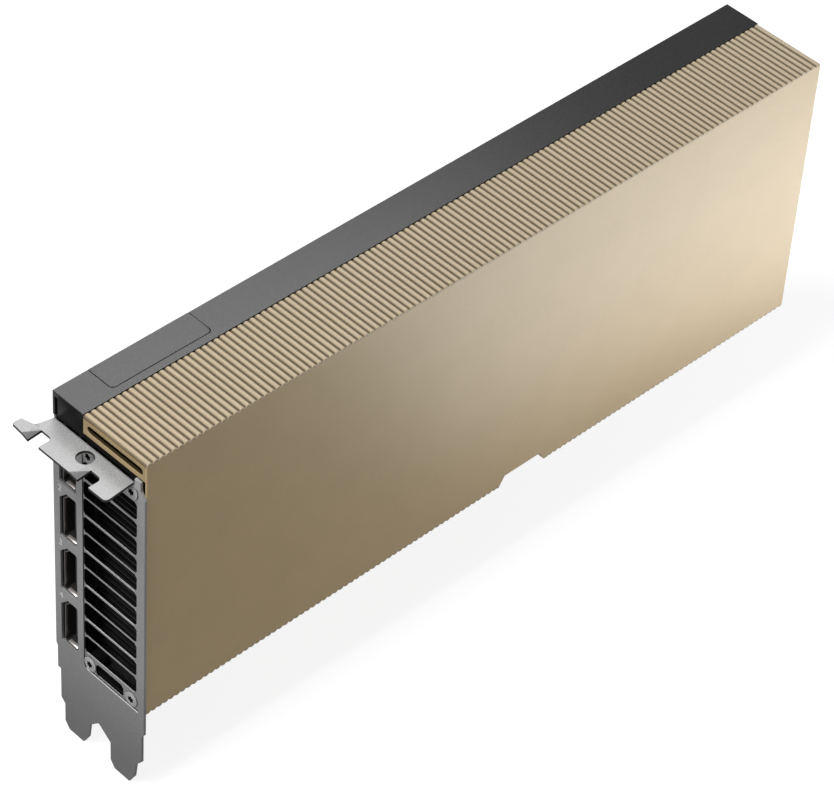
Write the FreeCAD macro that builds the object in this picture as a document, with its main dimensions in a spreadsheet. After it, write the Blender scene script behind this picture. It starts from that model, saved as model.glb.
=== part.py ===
import FreeCAD, Part
import os
from types import SimpleNamespace

import Sketcher
from FreeCAD import Placement, Rotation, Vector

# A passively cooled accelerator card for a server: full height, two slots wide, 10.5 inches long.
# It stands as it does in its slot. X runs along the board from the slot bracket to the air intake,
# -Y is the component side with the ribbed cover, +Z is up, away from the edge connector.
# The origin is the seat of the edge connector: the middle of the key notch, half way through the
# board, level with the ends of the contacts. All sizes are millimetres.

SIZES = (
    # Whole card
    ("card_length", 266.7, "ribbed cover from the bracket to the air intake"),
    ("key_to_bracket", 59.05, "key notch centre to the rear face of the bracket"),
    ("card_top", 111.15, "contact ends to the top of the card"),
    ("front_reach", 34.07, "board front to the outer face of the ribbed cover"),
    ("back_reach", 2.67, "board back to the outer face of the back cover"),
    ("seat_gap", 0.15, "clearance round parts that slide into each other"),
    ("thread_play", 0.05, "radial clearance of a screw in its hole"),
    # Circuit board and edge connector
    ("board_thickness", 1.57, "circuit board"),
    ("board_inset", 1.6, "board end to card end"),
    ("board_top", 106.4, "top edge of the board"),
    ("board_foot", 9.2, "lower edge of the board beside the edge connector"),
    ("key_width", 1.9, "key notch"),
    ("key_height", 7.6, "depth of the key notch"),
    ("short_tongue", 11.65, "connector edge between bracket and key"),
    ("long_tongue", 71.65, "connector edge after the key"),
    ("tongue_bevel", 0.8, "corner bevel of the connector edge"),
    ("latch_gap", 2.4, "gap between the connector edge and the latch hook"),
    ("latch_width", 4.2, "latch hook"),
    ("latch_tooth", 1.0, "tooth of the latch hook"),
    ("contact_pitch", 1.0, "edge contacts"),
    ("contact_width", 0.7, "one edge contact"),
    ("contact_height", 4.2, "one edge contact"),
    ("contact_lift", 0.5, "edge of the board to the contacts"),
    ("contact_plate", 0.05, "plating thickness"),
    ("short_contacts", 11, "contacts on one side before the key"),
    ("long_contacts", 71, "contacts on one side after the key"),
    # Ribbed cover
    ("cover_bottom", 14.2, "lower edge of the ribbed cover"),
    ("cover_wall", 1.2, "front wall of the ribbed cover"),
    ("cover_roof", 0.9, "top and bottom wall under the ribs"),
    ("rib_height", 0.75, "ribs"),
    ("rib_count", 123, "ribs along one edge"),
    ("lip_thickness", 1.2, "end lip of the cover"),
    ("lip_height", 6.85, "end lip, measured down from the card top"),
    ("lip_slot_height", 2.4, "slot in the end lip"),
    ("lip_slot_drop", 3.95, "middle of that slot, measured down from the card top"),
    ("lip_slot_inset", 1.6, "slot end to the sides of the cover"),
    ("relief_start", 80.45, "key notch centre to the relief for the slot latch"),
    ("relief_length", 19.25, "relief for the slot latch"),
    ("relief_slope", 2.15, "sloping ends of the relief"),
    ("relief_depth", 3.55, "depth of the relief"),
    # Top rail
    ("rail_width", 12.69, "top rail across the card"),
    ("rail_skin", 1.7, "top wall of the rail"),
    ("rail_side", 0.87, "side walls of the rail"),
    ("rail_drop", 8.6, "end walls and outer wall of the rail, down from the card top"),
    ("rail_inner_drop", 5.9, "inner wall of the rail, down from the card top"),
    ("rail_end_slot", 1.26, "slot between the outer wall and the end wall"),
    ("hatch_start", 46.65, "key notch centre back to the hatch over the link connector"),
    ("hatch_length", 35.6, "hatch along the card"),
    ("hatch_width", 9.9, "hatch across the card"),
    ("hatch_thickness", 1.1, "plate of the hatch"),
    ("hatch_rim", 1.5, "ledge that carries the hatch"),
    ("hatch_skirt", 5.0, "hatch down the outer side"),
    ("hatch_seam", 0.12, "gap round the hatch"),
    ("hatch_corner", 1.2, "corner radius of the hatch"),
    # Back cover
    ("back_thickness", 1.0, "back cover"),
    ("back_foot", 14.2, "lower edge of the back cover"),
    ("back_end_gap", 0.4, "back cover end to card end"),
    ("back_screw_rows", 2, "rows of back screws"),
    ("back_screw_columns", 5, "back screws in a row"),
    ("back_screw_inset", 8.0, "outer back screws to the ends of the back cover"),
    ("back_screw_head", 2.1, "radius of a back screw head"),
    ("back_screw_sink", 0.6, "depth of a back screw head"),
    ("back_screw_shank", 1.0, "radius of a back screw"),
    ("back_screw_clear", 0.15, "end of a back screw to the board"),
    ("standoff_radius", 2.5, "standoff between board and back cover"),
    ("standoff_below", 0.3, "lower standoffs to the backing frame of the processor"),
    ("standoff_above", 1.05, "upper standoffs to the backing frame of the processor"),
    # Slot bracket
    ("sheet", 0.86, "bracket sheet"),
    ("bracket_top", 102.5, "upper face of the bracket tab"),
    ("bracket_height", 120.02, "tab to the tips of the tongues"),
    ("bracket_offset", 2.64, "bracket edge behind the middle of the board"),
    ("bracket_width", 38.5, "bracket across two slots"),
    ("slot_pitch", 20.32, "distance between expansion slots"),
    ("tongue_inset", 3.5, "bracket edge to the first tongue"),
    ("tongue_pitch", 20.0, "first tongue to the second"),
    ("tongue_width", 11.05, "tongues at their roots"),
    ("tongue_length", 9.55, "tongues from root to tip"),
    ("tip_back_run", 1.85, "back corner cut of a tongue, across"),
    ("tip_back_rise", 2.4, "back corner cut of a tongue, upwards"),
    ("tip_front_run", 2.1, "front corner cut of a tongue, across"),
    ("tip_front_rise", 3.7, "front corner cut of a tongue, upwards"),
    ("tongue_slant", 0.72, "lean of the front edge of a tongue"),
    ("valley_rise", 3.8, "roots of the tongues to the valley between them"),
    ("tongue_round", 0.7, "corner radius of the tongues"),
    ("root_rise", 1.6, "corner cut above the root at the back edge"),
    ("front_root_rise", 2.9, "corner cut above the root at the front edge"),
    ("first_step", 0.6, "step in the back edge beside the lowest socket"),
    ("first_step_height", 14.9, "height of that step"),
    ("second_step", 1.25, "lower step in both edges"),
    ("second_step_height", 5.5, "height of the lower step"),
    ("shoulder", 98.5, "height of the cut corner at the front edge"),
    ("shoulder_run", 2.45, "cut corner at the front edge"),
    ("ear_top", 104.15, "height of the ear beside the tab"),
    ("ear_width", 2.4, "ear beside the tab"),
    ("tab_depth", 11.15, "rear face of the bracket to the front edge of the tab"),
    ("tab_bend", 1.15, "outer radius of the tab bend"),
    ("notch_width", 4.42, "screw notches in the tab"),
    ("notch_depth", 4.75, "screw notches in the tab"),
    ("notch_place", 0.4, "first screw notch behind the middle of the board"),
    ("notch_corner", 1.5, "inner corner radius of a screw notch"),
    ("finger_reach", 7.6, "tip of the tab finger behind the middle of the board"),
    ("finger_width", 3.1, "tip of the tab finger"),
    ("finger_lean", 0.6, "lean of the front edge of the tab finger"),
    ("finger_neck", 3.2, "neck of the tab finger behind the middle of the board"),
    ("finger_neck_inset", 6.3, "neck of the tab finger to the rear face of the bracket"),
    ("finger_neck_round", 2.0, "neck radius of the tab finger"),
    ("finger_round", 0.5, "corner radius of the tab finger"),
    ("tab_root_inset", 0.5, "end of the tab bend to the edge of the bracket"),
    ("tab_end", 31.4, "far end of the tab in front of the middle of the board"),
    ("tab_flare", 0.8, "far end of the tab beyond its bend"),
    ("tab_corner", 1.3, "corner radius at the far end of the tab"),
    ("tab_hole", 5.3, "diameter of the hole in the tab"),
    ("tab_hole_inset", 4.4, "hole in the tab to the rear face of the bracket"),
    ("tab_hole_place", 15.2, "hole in the tab in front of the middle of the board"),
    ("draw_depth", 0.9, "vent panel pressed back from the bracket face"),
    ("draw_start", 9.6, "near edge of the vent panel in front of the middle of the board"),
    ("draw_end", 32.7, "far edge of the vent panel in front of the middle of the board"),
    ("draw_foot", 14.2, "lower edge of the vent panel"),
    ("draw_head", 100.6, "upper edge of the vent panel"),
    ("draw_corner", 2.4, "corner radius of the vent panel"),
    ("vent_foot", 20.8, "lower edge of the first vent"),
    ("vent_pitch", 6.75, "vents"),
    ("vent_pairs", 5, "pairs of vents below the top one"),
    ("vent_length", 21.6, "vents"),
    ("vent_start", 9.9, "near end of the vents in front of the middle of the board"),
    ("broad_bar", 0.75, "every second bar between the vents"),
    ("slim_bar", 0.5, "the bars between those"),
    ("vent_corner", 0.9, "corner radius of the vents"),
    ("low_vent_foot", 14.9, "lower edge of the vent between the lower screws"),
    ("low_vent_start", 14.4, "near end of that vent"),
    ("low_vent_length", 11.7, "length of that vent"),
    # Display sockets
    ("socket_pitch", 20.85, "display sockets"),
    ("socket_count", 4, "display sockets"),
    ("socket_foot", 26.75, "centre of the lowest display socket"),
    ("socket_window_height", 17.9, "window in the bracket"),
    ("socket_window_width", 7.1, "window in the bracket"),
    ("socket_window_edge", 0.15, "window edge behind the middle of the board"),
    ("socket_window_corner", 0.55, "small corners of the window"),
    ("socket_window_chamfer", 2.9, "large corner of the window"),
    ("shell_height", 16.8, "display socket shell"),
    ("shell_rise", 6.0, "shell above the board"),
    ("shell_wall", 0.35, "shell"),
    ("shell_chamfer", 2.4, "large corner of the shell"),
    ("shell_setback", 0.5, "mouth of the shell behind the bracket face"),
    ("shell_length", 14.0, "shell along the card"),
    ("tongue_setback", 2.2, "contact tongue behind the mouth"),
    ("tongue_thickness", 1.3, "contact tongue"),
    ("tongue_height", 13.4, "contact tongue"),
    ("core_length", 6.5, "body behind the tongue"),
    ("socket_pin_pitch", 1.2, "contacts on the tongue"),
    ("socket_pins", 10, "contacts on one side of the tongue"),
    ("socket_pin_width", 0.5, "one contact"),
    ("socket_pin_plate", 0.12, "thickness of a contact"),
    # Screws of the bracket
    ("screw_near", 11.85, "near screws in front of the middle of the board"),
    ("screw_far", 29.45, "far screws in front of the middle of the board"),
    ("screw_foot", 17.3, "height of the lower screws"),
    ("screw_head_height", 98.2, "height of the upper screws"),
    ("head_radius", 2.2, "screw head"),
    ("head_rise", 0.75, "screw head"),
    ("shank_radius", 1.2, "screw shank"),
    ("shank_length", 3.2, "screw shank behind the vent panel"),
    ("recess_radius", 1.0, "six-lobed drive recess"),
    ("recess_depth", 0.5, "drive recess"),
    # End frames
    ("frame_depth", 3.4, "end frames along the card"),
    ("frame_rim", 1.6, "rim of the end frames"),
    ("boss_radius", 2.9, "screw bosses of the end frames"),
    ("boss_web", 3.6, "web from a boss to the nearer rim"),
    ("extender_inset", 4.2, "threaded holes to the walls at the intake end"),
    ("extender_hole", 1.25, "radius of the threaded holes at the intake end"),
    # Heatsink
    ("base_start", 22.0, "bracket to the vapour chamber"),
    ("base_end", 30.0, "vapour chamber to the intake end"),
    ("base_gap", 2.1, "board front to the vapour chamber"),
    ("base_thickness", 4.3, "vapour chamber"),
    ("base_foot", 24.0, "lower edge of the vapour chamber"),
    ("base_head", 98.0, "upper edge of the vapour chamber"),
    ("fin_start", 7.0, "bracket to the fins"),
    ("fin_end", 15.0, "fins to the intake end"),
    ("fin_foot", 16.5, "lowest fin"),
    ("fin_pitch", 2.4, "fins"),
    ("fin_count", 36, "air channels between the fins"),
    ("fin_thickness", 0.4, "fin sheet"),
    ("fin_tip_gap", 0.25, "fins to the inside of the ribbed cover"),
    # Processor and memory
    ("chip_centre", 78.0, "key notch centre to the processor centre"),
    ("chip_height", 58.0, "height of the processor centre"),
    ("package_side", 52.0, "processor carrier"),
    ("package_thickness", 1.2, "processor carrier"),
    ("die_length", 30.0, "processor die"),
    ("die_height", 25.0, "processor die"),
    ("die_thickness", 0.8, "processor die"),
    ("memory_length", 12.0, "memory chip"),
    ("memory_height", 14.0, "memory chip"),
    ("memory_thickness", 1.1, "memory chip"),
    ("memory_gap", 1.0, "backing frame of the processor to the memory chips"),
    ("memory_pitch", 16.4, "memory chips in a column"),
    ("pad_inset", 1.0, "thermal pad inside the edge of its chip"),
    # Power stage
    ("choke_side", 7.0, "power inductor"),
    ("choke_rise", 5.2, "power inductor"),
    ("choke_pitch", 9.4, "power inductors in a column"),
    ("choke_count", 8, "power inductors in a column"),
    ("choke_foot", 22.0, "centre of the lowest power inductor"),
    ("choke_inset", 23.65, "power inductors to the intake end"),
    ("stage_side", 5.0, "power transistor"),
    ("stage_rise", 1.0, "power transistor"),
    ("stage_offset", 7.0, "power inductors to the power transistors"),
    ("capacitor_radius", 2.4, "capacitor"),
    ("capacitor_rise", 5.0, "capacitor"),
    ("capacitor_offset", 7.0, "power inductors to the capacitors"),
    # Power inlet
    ("inlet_height", 78.0, "centre of the power inlet"),
    ("inlet_width", 19.2, "power inlet along Z"),
    ("inlet_rise", 8.0, "power inlet above the board"),
    ("inlet_length", 13.4, "power inlet along the card"),
    ("inlet_inset", 0.6, "mouth of the power inlet to the card end"),
    ("inlet_wall", 0.9, "wall of the power inlet"),
    ("inlet_cavity", 9.6, "depth of the power inlet"),
    ("power_pin", 0.9, "power pin"),
    ("power_pin_pitch", 3.0, "power pins along Z"),
    ("power_row_offset", 1.3, "rows of power pins to the middle of the inlet"),
    ("power_pin_setback", 1.9, "power pins behind the mouth"),
    ("sense_pin", 0.4, "signal pin"),
    ("sense_pin_pitch", 1.5, "signal pins"),
    # Clamp behind the processor
    ("clamp_reach", 2.5, "clamp screws outside the processor carrier"),
    ("clamp_window", 46.0, "window of the backing frame"),
    ("clamp_thickness", 1.0, "backing frame"),
    ("clamp_hole_inset", 4.5, "clamp screws to the edge of the frame"),
    ("clamp_head_radius", 2.4, "clamp screw head"),
    ("clamp_head_rise", 0.55, "clamp screw head"),
    ("clamp_shank_radius", 1.25, "clamp screw"),
    ("clamp_grip", 2.0, "clamp screw in the vapour chamber"),
)

doc = FreeCAD.newDocument("accelerator_card")
sheet = doc.addObject("Spreadsheet::Sheet", "Sizes")
for line, (alias, value, note) in enumerate(SIZES, 1):
    sheet.set(f"A{line}", alias)
    sheet.set(f"B{line}", str(value))
    sheet.set(f"C{line}", note)
    sheet.setAlias(f"B{line}", alias)
doc.recompute()


# A size that carries both its number and the text of its expression, so that plain arithmetic in
# this file gives the expression that a property is bound to.
class Size:
    def __init__(self, value, text):
        self.value = float(value)
        self.text = text

    def __add__(self, other):
        other = as_size(other)
        return Size(self.value + other.value, f"{self.text} + {other.text}")

    def __sub__(self, other):
        other = as_size(other)
        return Size(self.value - other.value, f"{self.text} - ({other.text})")

    def __mul__(self, other):
        other = as_size(other)
        return Size(self.value * other.value, f"({self.text}) * ({other.text})")

    def __truediv__(self, other):
        other = as_size(other)
        return Size(self.value / other.value, f"({self.text}) / ({other.text})")

    def __neg__(self):
        return Size(-self.value, f"-1 * ({self.text})")

    def __radd__(self, other):
        return as_size(other) + self

    def __rsub__(self, other):
        return as_size(other) - self

    def __rmul__(self, other):
        return as_size(other) * self


def as_size(value):
    return value if isinstance(value, Size) else Size(value, f"({value})")


s = SimpleNamespace(**{alias: Size(sheet.get(alias), f"Sizes.{alias}") for alias, value, note in SIZES})

# Planes and offsets that several pieces share
near = -s.key_to_bracket
far = near + s.card_length
board_front = -s.board_thickness / 2
board_back = s.board_thickness / 2
cover_front = board_front - s.front_reach
back_face = board_back + s.back_reach
rail_edge = back_face - s.rail_width
cover_inner = cover_front + s.cover_wall
roof_inner = s.card_top - s.rib_height - s.cover_roof
floor_inner = s.cover_bottom + s.rib_height + s.cover_roof
bracket_face = near - s.sheet
panel_face = bracket_face + s.draw_depth
panel_rear = panel_face + s.sheet
clamp_screw_offset = s.package_side / 2 + s.clamp_reach
clamp_edge = clamp_screw_offset + s.clamp_hole_inset
socket_heights = [s.socket_foot + s.socket_pitch * k for k in range(int(s.socket_count.value))]
bracket_screws_at = [
    (-s.screw_near, s.screw_foot), (-s.screw_far, s.screw_foot),
    (-s.screw_near, s.screw_head_height), (-s.screw_far, s.screw_head_height),
]
WHOLE = 1.0


def bind(thing, path, value):
    """Tie one property to the sheet."""
    thing.setExpression(path, as_size(value).text)


def block(name, x, y, z):
    """A box between two planes on each axis."""
    box = doc.addObject("Part::Box", name)
    for path, (low, high) in (("Length", x), ("Width", y), ("Height", z)):
        bind(box, path, as_size(high) - low)
    for axis, (low, high) in (("x", x), ("y", y), ("z", z)):
        bind(box, f"Placement.Base.{axis}", low)
    return box


TURN = {
    "x": Rotation(Vector(0, 1, 0), 90),
    "y": Rotation(Vector(1, 0, 0), -90),
    "z": Rotation(),
}


def rod(name, axis, start, radius, length):
    """A cylinder that runs in the positive direction of an axis from its start point."""
    cylinder = doc.addObject("Part::Cylinder", name)
    cylinder.Placement = Placement(Vector(), TURN[axis])
    bind(cylinder, "Radius", radius)
    bind(cylinder, "Height", length)
    for direction, value in zip("xyz", start):
        bind(cylinder, f"Placement.Base.{direction}", value)
    return cylinder


def group(name, pieces):
    """Separate solids in one node."""
    compound = doc.addObject("Part::Compound", name)
    compound.Links = pieces
    return compound


def fuse(name, pieces):
    joined = doc.addObject("Part::MultiFuse", name)
    joined.Shapes = pieces
    return joined


def cut(name, base, tools):
    """The base without its tools."""
    tool = tools[0] if len(tools) == 1 else fuse(f"{name}_tools", tools)
    result = doc.addObject("Part::Cut", name)
    result.Base = base
    result.Tool = tool
    return result


def new_body(name):
    return doc.addObject("PartDesign::Body", name)


def origin_plane(body, role):
    return next(feature for feature in body.Origin.OriginFeatures if feature.Role == role)


def sketch(body, name, role, offset, loops=(), circles=()):
    """A sketch on an origin plane of its body, moved along the plane's normal.

    Each loop is a list of corners (u, v), each circle is (u, v, radius). Every corner and centre is
    tied to the sheet, so the sketch is fully constrained.
    """
    drawing = body.newObject("Sketcher::SketchObject", name)
    drawing.AttachmentSupport = [(origin_plane(body, role), "")]
    drawing.MapMode = "FlatFace"
    bind(drawing, "AttachmentOffset.Base.z", offset)
    place = 0

    def fix(kind, geometry, end, value):
        number = drawing.addConstraint(
            Sketcher.Constraint(kind, -1, 1, geometry, end, as_size(value).value))
        drawing.setExpression(f"Constraints[{number}]", as_size(value).text)

    for loop in loops:
        corners = [Vector(as_size(u).value, as_size(v).value, 0) for u, v in loop]
        count = len(corners)
        for k in range(count):
            drawing.addGeometry(Part.LineSegment(corners[k], corners[(k + 1) % count]), False)
        for k in range(count):
            drawing.addConstraint(
                Sketcher.Constraint("Coincident", place + k, 2, place + (k + 1) % count, 1))
        for k, (u, v) in enumerate(loop):
            fix("DistanceX", place + k, 1, u)
            fix("DistanceY", place + k, 1, v)
        place += count
    for u, v, radius in circles:
        middle = Vector(as_size(u).value, as_size(v).value, 0)
        drawing.addGeometry(Part.Circle(middle, Vector(0, 0, 1), as_size(radius).value), False)
        fix("DistanceX", place, 3, u)
        fix("DistanceY", place, 3, v)
        number = drawing.addConstraint(Sketcher.Constraint("Radius", place, as_size(radius).value))
        drawing.setExpression(f"Constraints[{number}]", as_size(radius).text)
        place += 1
    return drawing


def pad(body, profile, length):
    """Material from the sketch along its plane's normal."""
    feature = body.newObject("PartDesign::Pad", f"{profile.Name}_pad")
    feature.Profile = profile
    bind(feature, "Length", length)
    return feature


def pocket(body, profile, length):
    """A cut from the sketch along its plane's normal."""
    feature = body.newObject("PartDesign::Pocket", f"{profile.Name}_pocket")
    feature.Profile = profile
    feature.Reversed = True
    bind(feature, "Length", length)
    return feature


def row(body, feature, role, step, count):
    """Copies of a feature along an origin axis of the body."""
    pattern = body.newObject("PartDesign::LinearPattern", f"{feature.Name}_row")
    pattern.Originals = [feature]
    pattern.Direction = (origin_plane(body, role), [""])
    bind(pattern, "Length", step * (count - 1))
    pattern.Occurrences = int(round(as_size(count).value))
    bind(pattern, "Occurrences", count)
    body.Tip = pattern
    return pattern


def round_edges(body, base, radius, chosen):
    """Fillet the straight edges of the base feature that the function chosen picks."""
    doc.recompute()
    names = [
        f"Edge{number}" for number, edge in enumerate(base.Shape.Edges, 1)
        if len(edge.Vertexes) == 2 and edge.Curve.TypeId == "Part::GeomLine" and chosen(edge)
    ]
    fillet = body.newObject("PartDesign::Fillet", f"{base.Name}_fillet")
    fillet.Base = (base, names)
    bind(fillet, "Radius", radius)
    return fillet


def along(edge, axis):
    """True for a straight edge that runs along X, Y or Z."""
    first, last = (vertex.Point for vertex in edge.Vertexes)
    return abs(abs((last - first).normalize().dot(axis)) - 1) < 1e-6


def passes(edge, **place):
    """True for an edge whose start has the given coordinates, to a hundredth of a millimetre."""
    start = edge.Vertexes[0].Point
    return all(abs(getattr(start, axis) - as_size(value).value) < 0.01 for axis, value in place.items())


X_AXIS, Y_AXIS, Z_AXIS = Vector(1, 0, 0), Vector(0, 1, 0), Vector(0, 0, 1)


# Ribbed cover
# One ribbed outline is drawn along the card and given its depth, then the inside is taken out.
# Each rib is a flat-sided arch, and the ribs stop at the relief that clears the slot's latch.

ARCH = ((0.0, 0.0), (0.12, 0.5), (0.3, 0.88), (0.5, 1.0), (0.7, 0.88), (0.88, 0.5))


def rib_line(start, pitch, valley, rise, count):
    """Corners of a row of ribs, from one valley to the next."""
    return [
        Vector(start + (k + along_rib) * pitch, 0, valley + height * rise)
        for k in range(count) for along_rib, height in ARCH
    ]


def ribbed_outline():
    """Closed outline of the ribbed cover in the XZ plane."""
    pitch = s.card_length.value / s.rib_count.value
    count = int(round(s.rib_count.value))
    low, high = near.value, far.value
    top_valley = s.card_top.value - s.rib_height.value
    foot = s.cover_bottom.value
    foot_valley = foot + s.rib_height.value
    relief_low = s.relief_start.value
    relief_high = relief_low + s.relief_length.value
    relief_roof = foot + s.relief_depth.value
    ribs_before = int((relief_low - low) / pitch)
    ribs_after = int((high - relief_high) / pitch)

    corners = rib_line(low, pitch, top_valley, s.rib_height.value, count)
    corners += [Vector(high, 0, top_valley)]
    corners += rib_line(high, -pitch, foot_valley, -s.rib_height.value, ribs_after)
    after_end = high - ribs_after * pitch
    corners += [
        Vector(after_end, 0, foot_valley), Vector(after_end, 0, foot),
        Vector(relief_high, 0, foot),
        Vector(relief_high - s.relief_slope.value, 0, relief_roof),
        Vector(relief_low + s.relief_slope.value, 0, relief_roof),
        Vector(relief_low, 0, foot),
    ]
    before_end = low + ribs_before * pitch
    corners += [Vector(before_end, 0, foot)]
    corners += rib_line(before_end, -pitch, foot_valley, -s.rib_height.value, ribs_before)
    corners += [Vector(low, 0, foot_valley)]
    clean = [corners[0]]
    for corner in corners[1:]:
        if (corner - clean[-1]).Length > 1e-6:
            clean.append(corner)
    return Part.Face(Part.makePolygon(clean + [clean[0]]))


def make_shroud():
    outline = doc.addObject("Part::Feature", "shroud_outline")
    outline.Shape = ribbed_outline()
    solid = doc.addObject("Part::Extrusion", "shroud_block")
    solid.Base = outline
    solid.Dir = Vector(0, 1, 0)
    solid.Solid = True
    bind(solid, "LengthFwd", rail_edge - cover_front)
    bind(solid, "Placement.Base.y", cover_front)

    past = rail_edge + WHOLE
    lip_foot = s.card_top - s.lip_height
    inside = block("shroud_inside", (near + s.lip_thickness, far + WHOLE), (cover_inner, past),
                   (floor_inner, roof_inner))
    mouth = block("shroud_mouth", (near - WHOLE, panel_rear + s.frame_depth + s.seat_gap),
                  (cover_inner, past), (s.cover_bottom - WHOLE, lip_foot))
    skin = s.cover_roof
    low = s.relief_start
    high = low + s.relief_length
    roof = s.cover_bottom + s.relief_depth + skin
    keep = new_body("relief_wall")
    profile = sketch(keep, "relief_wall_profile", "XZ_Plane", -cover_inner + WHOLE, [[
        (low - skin, s.cover_bottom), (low + s.relief_slope - skin, roof),
        (high - s.relief_slope + skin, roof), (high + skin, s.cover_bottom),
    ]])
    wall = pad(keep, profile, rail_edge - cover_inner + 3 * WHOLE)
    wall.Reversed = True
    hollow = cut("shroud_hollow", inside, [keep])

    radius = s.lip_slot_height / 2
    middle = s.card_top - s.lip_slot_drop
    slot_low = cover_front + s.lip_slot_inset + radius
    slot_high = rail_edge - s.lip_slot_inset - radius
    reach = (near - WHOLE, near + s.lip_thickness + WHOLE)
    slot = fuse("lip_slot", [
        block("lip_slot_middle", reach, (slot_low, slot_high), (middle - radius, middle + radius)),
        rod("lip_slot_near", "x", (near - WHOLE, slot_low, middle), radius, s.lip_thickness + 2 * WHOLE),
        rod("lip_slot_far", "x", (near - WHOLE, slot_high, middle), radius, s.lip_thickness + 2 * WHOLE),
    ])
    return cut("shroud", solid, [hollow, mouth, slot])


# Top rail and its hatch
# The dark rail along the top is an upside-down channel with an end wall at each end. A slot stays
# open between its outer wall and the end wall. The hatch is let in flush over the link connector
# and wraps down the outer side.

def make_rail():
    top = (s.card_top - s.rail_skin, s.card_top)
    outer_low = back_face - s.rail_side
    web = (rail_edge, outer_low - s.rail_end_slot)
    foot = s.card_top - s.rail_drop
    channel = fuse("rail_channel", [
        block("rail_top", (near, far), (rail_edge, back_face), top),
        block("rail_outer", (near, far), (outer_low, back_face), (foot, s.card_top)),
        block("rail_inner", (near, far), (rail_edge, rail_edge + s.rail_side),
              (s.card_top - s.rail_inner_drop, s.card_top)),
        block("rail_near_end", (near, near + s.rail_side), web, (foot, s.card_top)),
        block("rail_far_end", (far - s.rail_side, far), web, (foot, s.card_top)),
    ])
    start = -s.hatch_start - s.hatch_seam
    end = -s.hatch_start + s.hatch_length + s.hatch_seam
    edge = back_face - s.hatch_width - s.hatch_seam
    seat = new_body("hatch_seat")
    seat_pad = pad(seat, sketch(seat, "hatch_seat_outline", "XY_Plane", s.card_top - s.hatch_thickness, [[
        (start, edge), (end, edge), (end, back_face + WHOLE), (start, back_face + WHOLE),
    ]]), s.hatch_thickness + WHOLE)
    round_edges(seat, seat_pad, s.hatch_corner + s.hatch_seam, lambda edge_line: (
        along(edge_line, Z_AXIS) and edge_line.Vertexes[0].Point.y < 0))
    window = block("hatch_window", (start + s.hatch_rim, end - s.hatch_rim),
                   (edge + s.hatch_rim, outer_low), (s.card_top - s.rail_skin - WHOLE, s.card_top))
    side = block("hatch_side", (start, end), (outer_low - s.hatch_seam, back_face + WHOLE),
                 (s.card_top - s.hatch_skirt - s.hatch_seam, s.card_top + WHOLE))
    return cut("top_rail", channel, [seat, window, side])


def make_hatch():
    start = -s.hatch_start
    end = start + s.hatch_length
    edge = back_face - s.hatch_width
    plate = new_body("link_hatch")
    pad(plate, sketch(plate, "link_hatch_outline", "XY_Plane", s.card_top - s.hatch_thickness, [[
        (start, edge), (end, edge), (end, back_face), (start, back_face),
    ]]), s.hatch_thickness)
    inner = back_face - s.rail_side
    skirt = pad(plate, sketch(plate, "link_hatch_skirt", "XY_Plane", s.card_top - s.hatch_skirt, [[
        (start, inner), (end, inner), (end, back_face), (start, back_face),
    ]]), s.hatch_skirt)
    round_edges(plate, skirt, s.hatch_corner, lambda edge_line: (
        along(edge_line, Z_AXIS) and edge_line.Vertexes[0].Point.y < 0))
    return plate


# Circuit board
# One outline with the edge connector, its key notch and the hook that the slot's latch grips.

def make_board():
    start = near + s.board_inset
    end = far - s.board_inset
    half_key = s.key_width / 2
    short_end = -half_key - s.short_tongue
    long_end = half_key + s.long_tongue
    hook = long_end + s.latch_gap
    bevel = s.tongue_bevel
    foot = s.board_foot
    body = new_body("circuit_board")
    outline = [
        (start, foot), (short_end, foot), (short_end, bevel), (short_end + bevel, 0),
        (-half_key - bevel / 2, 0), (-half_key, bevel / 2), (-half_key, s.key_height),
        (half_key, s.key_height), (half_key, bevel / 2), (half_key + bevel / 2, 0),
        (long_end - bevel, 0), (long_end, bevel), (long_end, foot), (hook, foot),
        (hook, 4 * s.latch_tooth), (hook - s.latch_tooth, 3 * s.latch_tooth),
        (hook - s.latch_tooth, 2 * s.latch_tooth), (hook + s.latch_width, 2 * s.latch_tooth),
        (hook + s.latch_width + s.latch_tooth, foot), (end, foot), (end, s.board_top), (start, s.board_top),
    ]
    holes = [(x, z, s.clamp_shank_radius + s.thread_play) for x, z in clamp_places()]
    pad(body, sketch(body, "board_outline", "XZ_Plane", -board_back, [outline], holes), s.board_thickness)
    return body


def make_contacts():
    """Gold fingers on both faces of the connector edge."""
    pieces = []
    z = (s.contact_lift, s.contact_lift + s.contact_height)
    half = s.contact_width / 2
    first_short = -s.key_width / 2 - s.contact_pitch * 0.65
    first_long = s.key_width / 2 + s.contact_pitch * 0.85
    sides = {
        "front": (board_front - s.contact_plate, board_front),
        "back": (board_back, board_back + s.contact_plate),
    }
    for side, y in sides.items():
        for k in range(int(s.short_contacts.value)):
            x = first_short - s.contact_pitch * k
            pieces.append(block(f"contact_{side}_short_{k}", (x - half, x + half), y, z))
        for k in range(int(s.long_contacts.value)):
            x = first_long + s.contact_pitch * k
            pieces.append(block(f"contact_{side}_long_{k}", (x - half, x + half), y, z))
    return group("edge_contacts", pieces)


# Back cover, standoffs and back screws

def spread(low, high, count):
    """Evenly spaced places from low to high."""
    steps = int(round(as_size(count).value)) - 1
    return [low + (high - low) * (k / steps) for k in range(steps + 1)]


def back_screw_places():
    x_low = near + s.back_end_gap + s.back_screw_inset
    x_high = far - s.back_end_gap - s.back_screw_inset
    z_low = s.chip_height - clamp_edge - s.standoff_below - s.standoff_radius
    z_high = s.chip_height + clamp_edge + s.standoff_above + s.standoff_radius
    return [
        (x, z) for z in spread(z_low, z_high, s.back_screw_rows)
        for x in spread(x_low, x_high, s.back_screw_columns)
    ]


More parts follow.
